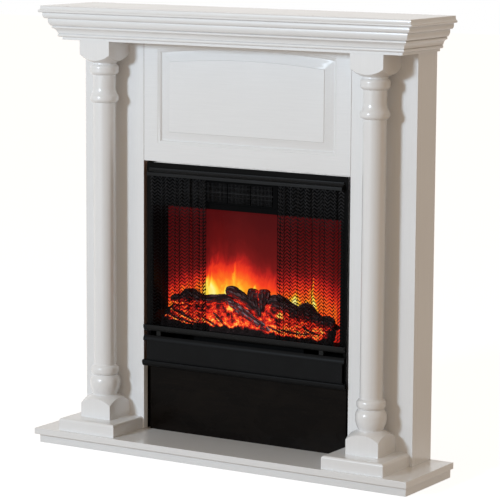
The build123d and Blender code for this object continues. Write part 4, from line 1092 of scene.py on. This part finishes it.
# Splinters of charred wood lie along the bed's foot: stations as for the logs.
stick_plans = [
    [(-210, 9, 44, 3), (-190, 7, 37, 5), (-160, 4, 27, 4), (-128, 2, 18, 2)],
    [(-214, 4, 30, 3), (-195, 3, 24, 4), (-165, 2, 17, 4), (-142, 2, 14, 2)],
    [(-120, 4, 30, 2), (-104, 3, 24, 4), (-84, 2, 15, 3)],
    [(-92, 8, 44, 2), (-76, 5, 33, 4), (-60, 3, 20, 3)],
    [(96, 2, 22, 3), (124, 1, 18, 4), (158, 1, 18, 3), (186, 2, 22, 2)],
    [(150, 5, 36, 2), (172, 3, 25, 4), (196, 3, 20, 3)],
    [(60, 3, 28, 2), (80, 2, 20, 4), (104, 1, 15, 2)],
]
sticks = []
for count, plan in enumerate(stick_plans):
    sticks.append(cast_log("stick", plan, 11 + count, 0.1, 0.78, cell=0.004))
bed = join_as("ember_bed_cast", [bed] + sticks)
finish_piece(bed, charred, 70)
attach(bed, "suite")
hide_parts("ember_bed")


# ---------- flame screen
# A translucent sheet lit from behind by the turning spindle: deep red at the top, a wide orange
# glow along the logs, and tongues of yellow flame that rise and lean behind them.

flame_light, tree, surface = new_finish("flame_light")
screen_low, screen_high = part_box("flame_screen")
place = split_axes(tree, object_pattern(tree))
drift = noise_node(tree, (1.0, 1.0, 0.42), 20.0, 3.0, 0.55, 0.7)
lick = noise_node(tree, (1.0, 1.0, 0.40), 58.0, 4.0, 0.62, 1.1)
across = added(tree, place["X"], spread(tree, drift, -0.008, 0.008))
across = added(tree, across, spread(tree, lick, -0.0045, 0.0045))
rise = added(tree, place["Z"], spread(tree, drift, 0.008, -0.008))
rise = added(tree, rise, spread(tree, lick, 0.007, -0.007))


def curve_node(tree, value, points):
    """A curve through points from 0 to 1."""
    bend = new_node(tree, "FloatCurve", {"Value": value})
    line = bend.mapping.curves[0]
    line.points[0].location = points[0]
    line.points[1].location = points[-1]
    for at, level in points[1:-1]:
        line.points.new(at, level)
    bend.mapping.update()
    return bend.outputs[0]


# How far the glow climbs at each place across, as a share of 100 mm.
screen_share = range_node(tree, across, screen_low.x, screen_high.x, 0.0, 1.0)
climb = curve_node(tree, screen_share, [
    (0.0, 0.15), (0.06, 0.24), (0.17, 0.34), (0.225, 0.44), (0.28, 0.70), (0.36, 0.72), (0.44, 0.72),
    (0.50, 0.60), (0.565, 0.48), (0.64, 0.48), (0.715, 0.52), (0.80, 0.56), (0.86, 0.58), (0.93, 0.50),
    (1.0, 0.42)])
lifted = maths(tree, "SUBTRACT", rise, times(tree, climb, 0.1))

# How hot the glow is at each height, from the foot of the screen to its top, and how it fades
# towards the sides.
haze = curve_node(tree, range_node(tree, lifted, screen_low.z - 0.1, screen_high.z - 0.07, 0.0, 1.0), [
    (0.0, 0.45), (0.20, 0.52), (0.33, 0.72), (0.38, 0.76), (0.42, 0.75), (0.465, 0.70), (0.511, 0.62),
    (0.557, 0.54), (0.60, 0.43), (0.645, 0.34), (0.69, 0.26), (0.76, 0.19), (0.824, 0.14), (0.92, 0.04),
    (1.0, 0.0)])
sides = curve_node(tree, screen_share, [
    (0.0, 0.88), (0.08, 0.94), (0.14, 0.98), (0.25, 1.0), (0.58, 1.0), (0.68, 0.92), (0.86, 0.90),
    (0.92, 0.84), (1.0, 0.76)])
haze = times(tree, haze, sides)

# Each tongue: where its foot is across and up, how far its tip leans, its height, half width and heat.
tongues = [
    (-0.236, 0.318, 0.000, 0.080, 0.020, 0.30),
    (-0.190, 0.356, 0.004, 0.064, 0.016, 0.22),
    (-0.140, 0.356, 0.000, 0.050, 0.014, 0.10),
    (-0.110, 0.352, -0.010, 0.060, 0.036, 1.00),
    (-0.080, 0.350, 0.004, 0.052, 0.030, 0.85),
    (-0.055, 0.376, 0.007, 0.092, 0.012, 0.34),
    (-0.034, 0.342, 0.000, 0.058, 0.030, 0.60),
    (0.000, 0.366, 0.001, 0.042, 0.012, 0.80),
    (0.052, 0.352, -0.004, 0.040, 0.018, 0.20),
    (0.092, 0.346, 0.008, 0.044, 0.018, 0.60),
    (0.110, 0.342, 0.006, 0.054, 0.028, 1.00),
    (0.144, 0.330, 0.002, 0.062, 0.018, 0.75),
    (0.164, 0.326, -0.010, 0.090, 0.020, 1.00),
    (0.160, 0.418, 0.000, 0.016, 0.004, 0.60),
    (0.214, 0.312, 0.000, 0.080, 0.022, 0.22),
]
hottest = None
for foot_x, foot_z, lean, tall, half_width, heat in tongues:
    share = range_node(tree, rise, foot_z, foot_z + tall, 0.0, 1.0)
    middle = added(tree, times(tree, share, lean), foot_x)
    gone = maths(tree, "ABSOLUTE", maths(tree, "SUBTRACT", across, middle))
    width = range_node(tree, share, 0.0, 1.0, half_width, half_width * 0.16)
    inside = maths(tree, "SUBTRACT", 1.0, maths(tree, "DIVIDE", gone, width))
    inside = maths(tree, "POWER", maths(tree, "MAXIMUM", inside, 0.0), 0.75)
    tip = range_node(tree, share, 1.0, 0.55, 0.0, 1.0)
    value = times(tree, times(tree, inside, tip), heat)
    hottest = value if hottest is None else maths(tree, "MAXIMUM", hottest, value)
room_left = maths(tree, "SUBTRACT", 1.0, haze)
heat_value = added(tree, haze, times(tree, hottest, room_left))
colour = ramp_node(tree, heat_value, [
    (0.0, (0.066, 0.0022, 0.0028)),
    (0.20, (0.114, 0.0040, 0.0040)),
    (0.34, (0.205, 0.0070, 0.0065)),
    (0.48, (0.515, 0.0144, 0.0105)),
    (0.60, (0.913, 0.045, 0.0130)),
    (0.71, (0.990, 0.156, 0.0130)),
    (0.81, (0.990, 0.430, 0.0210)),
    (0.91, (0.990, 0.750, 0.0800)),
    (1.0, (1.0, 0.92, 0.31)),
])
set_inputs(tree, surface, {
    "Emission Color": colour,
    "Emission Strength": 1.0,
    "Base Color": (0.004, 0.001, 0.001, 1.0),
    "Roughness": 0.3,
    "Specular IOR Level": 0.03,
})
finish_node("flame_screen", flame_light)
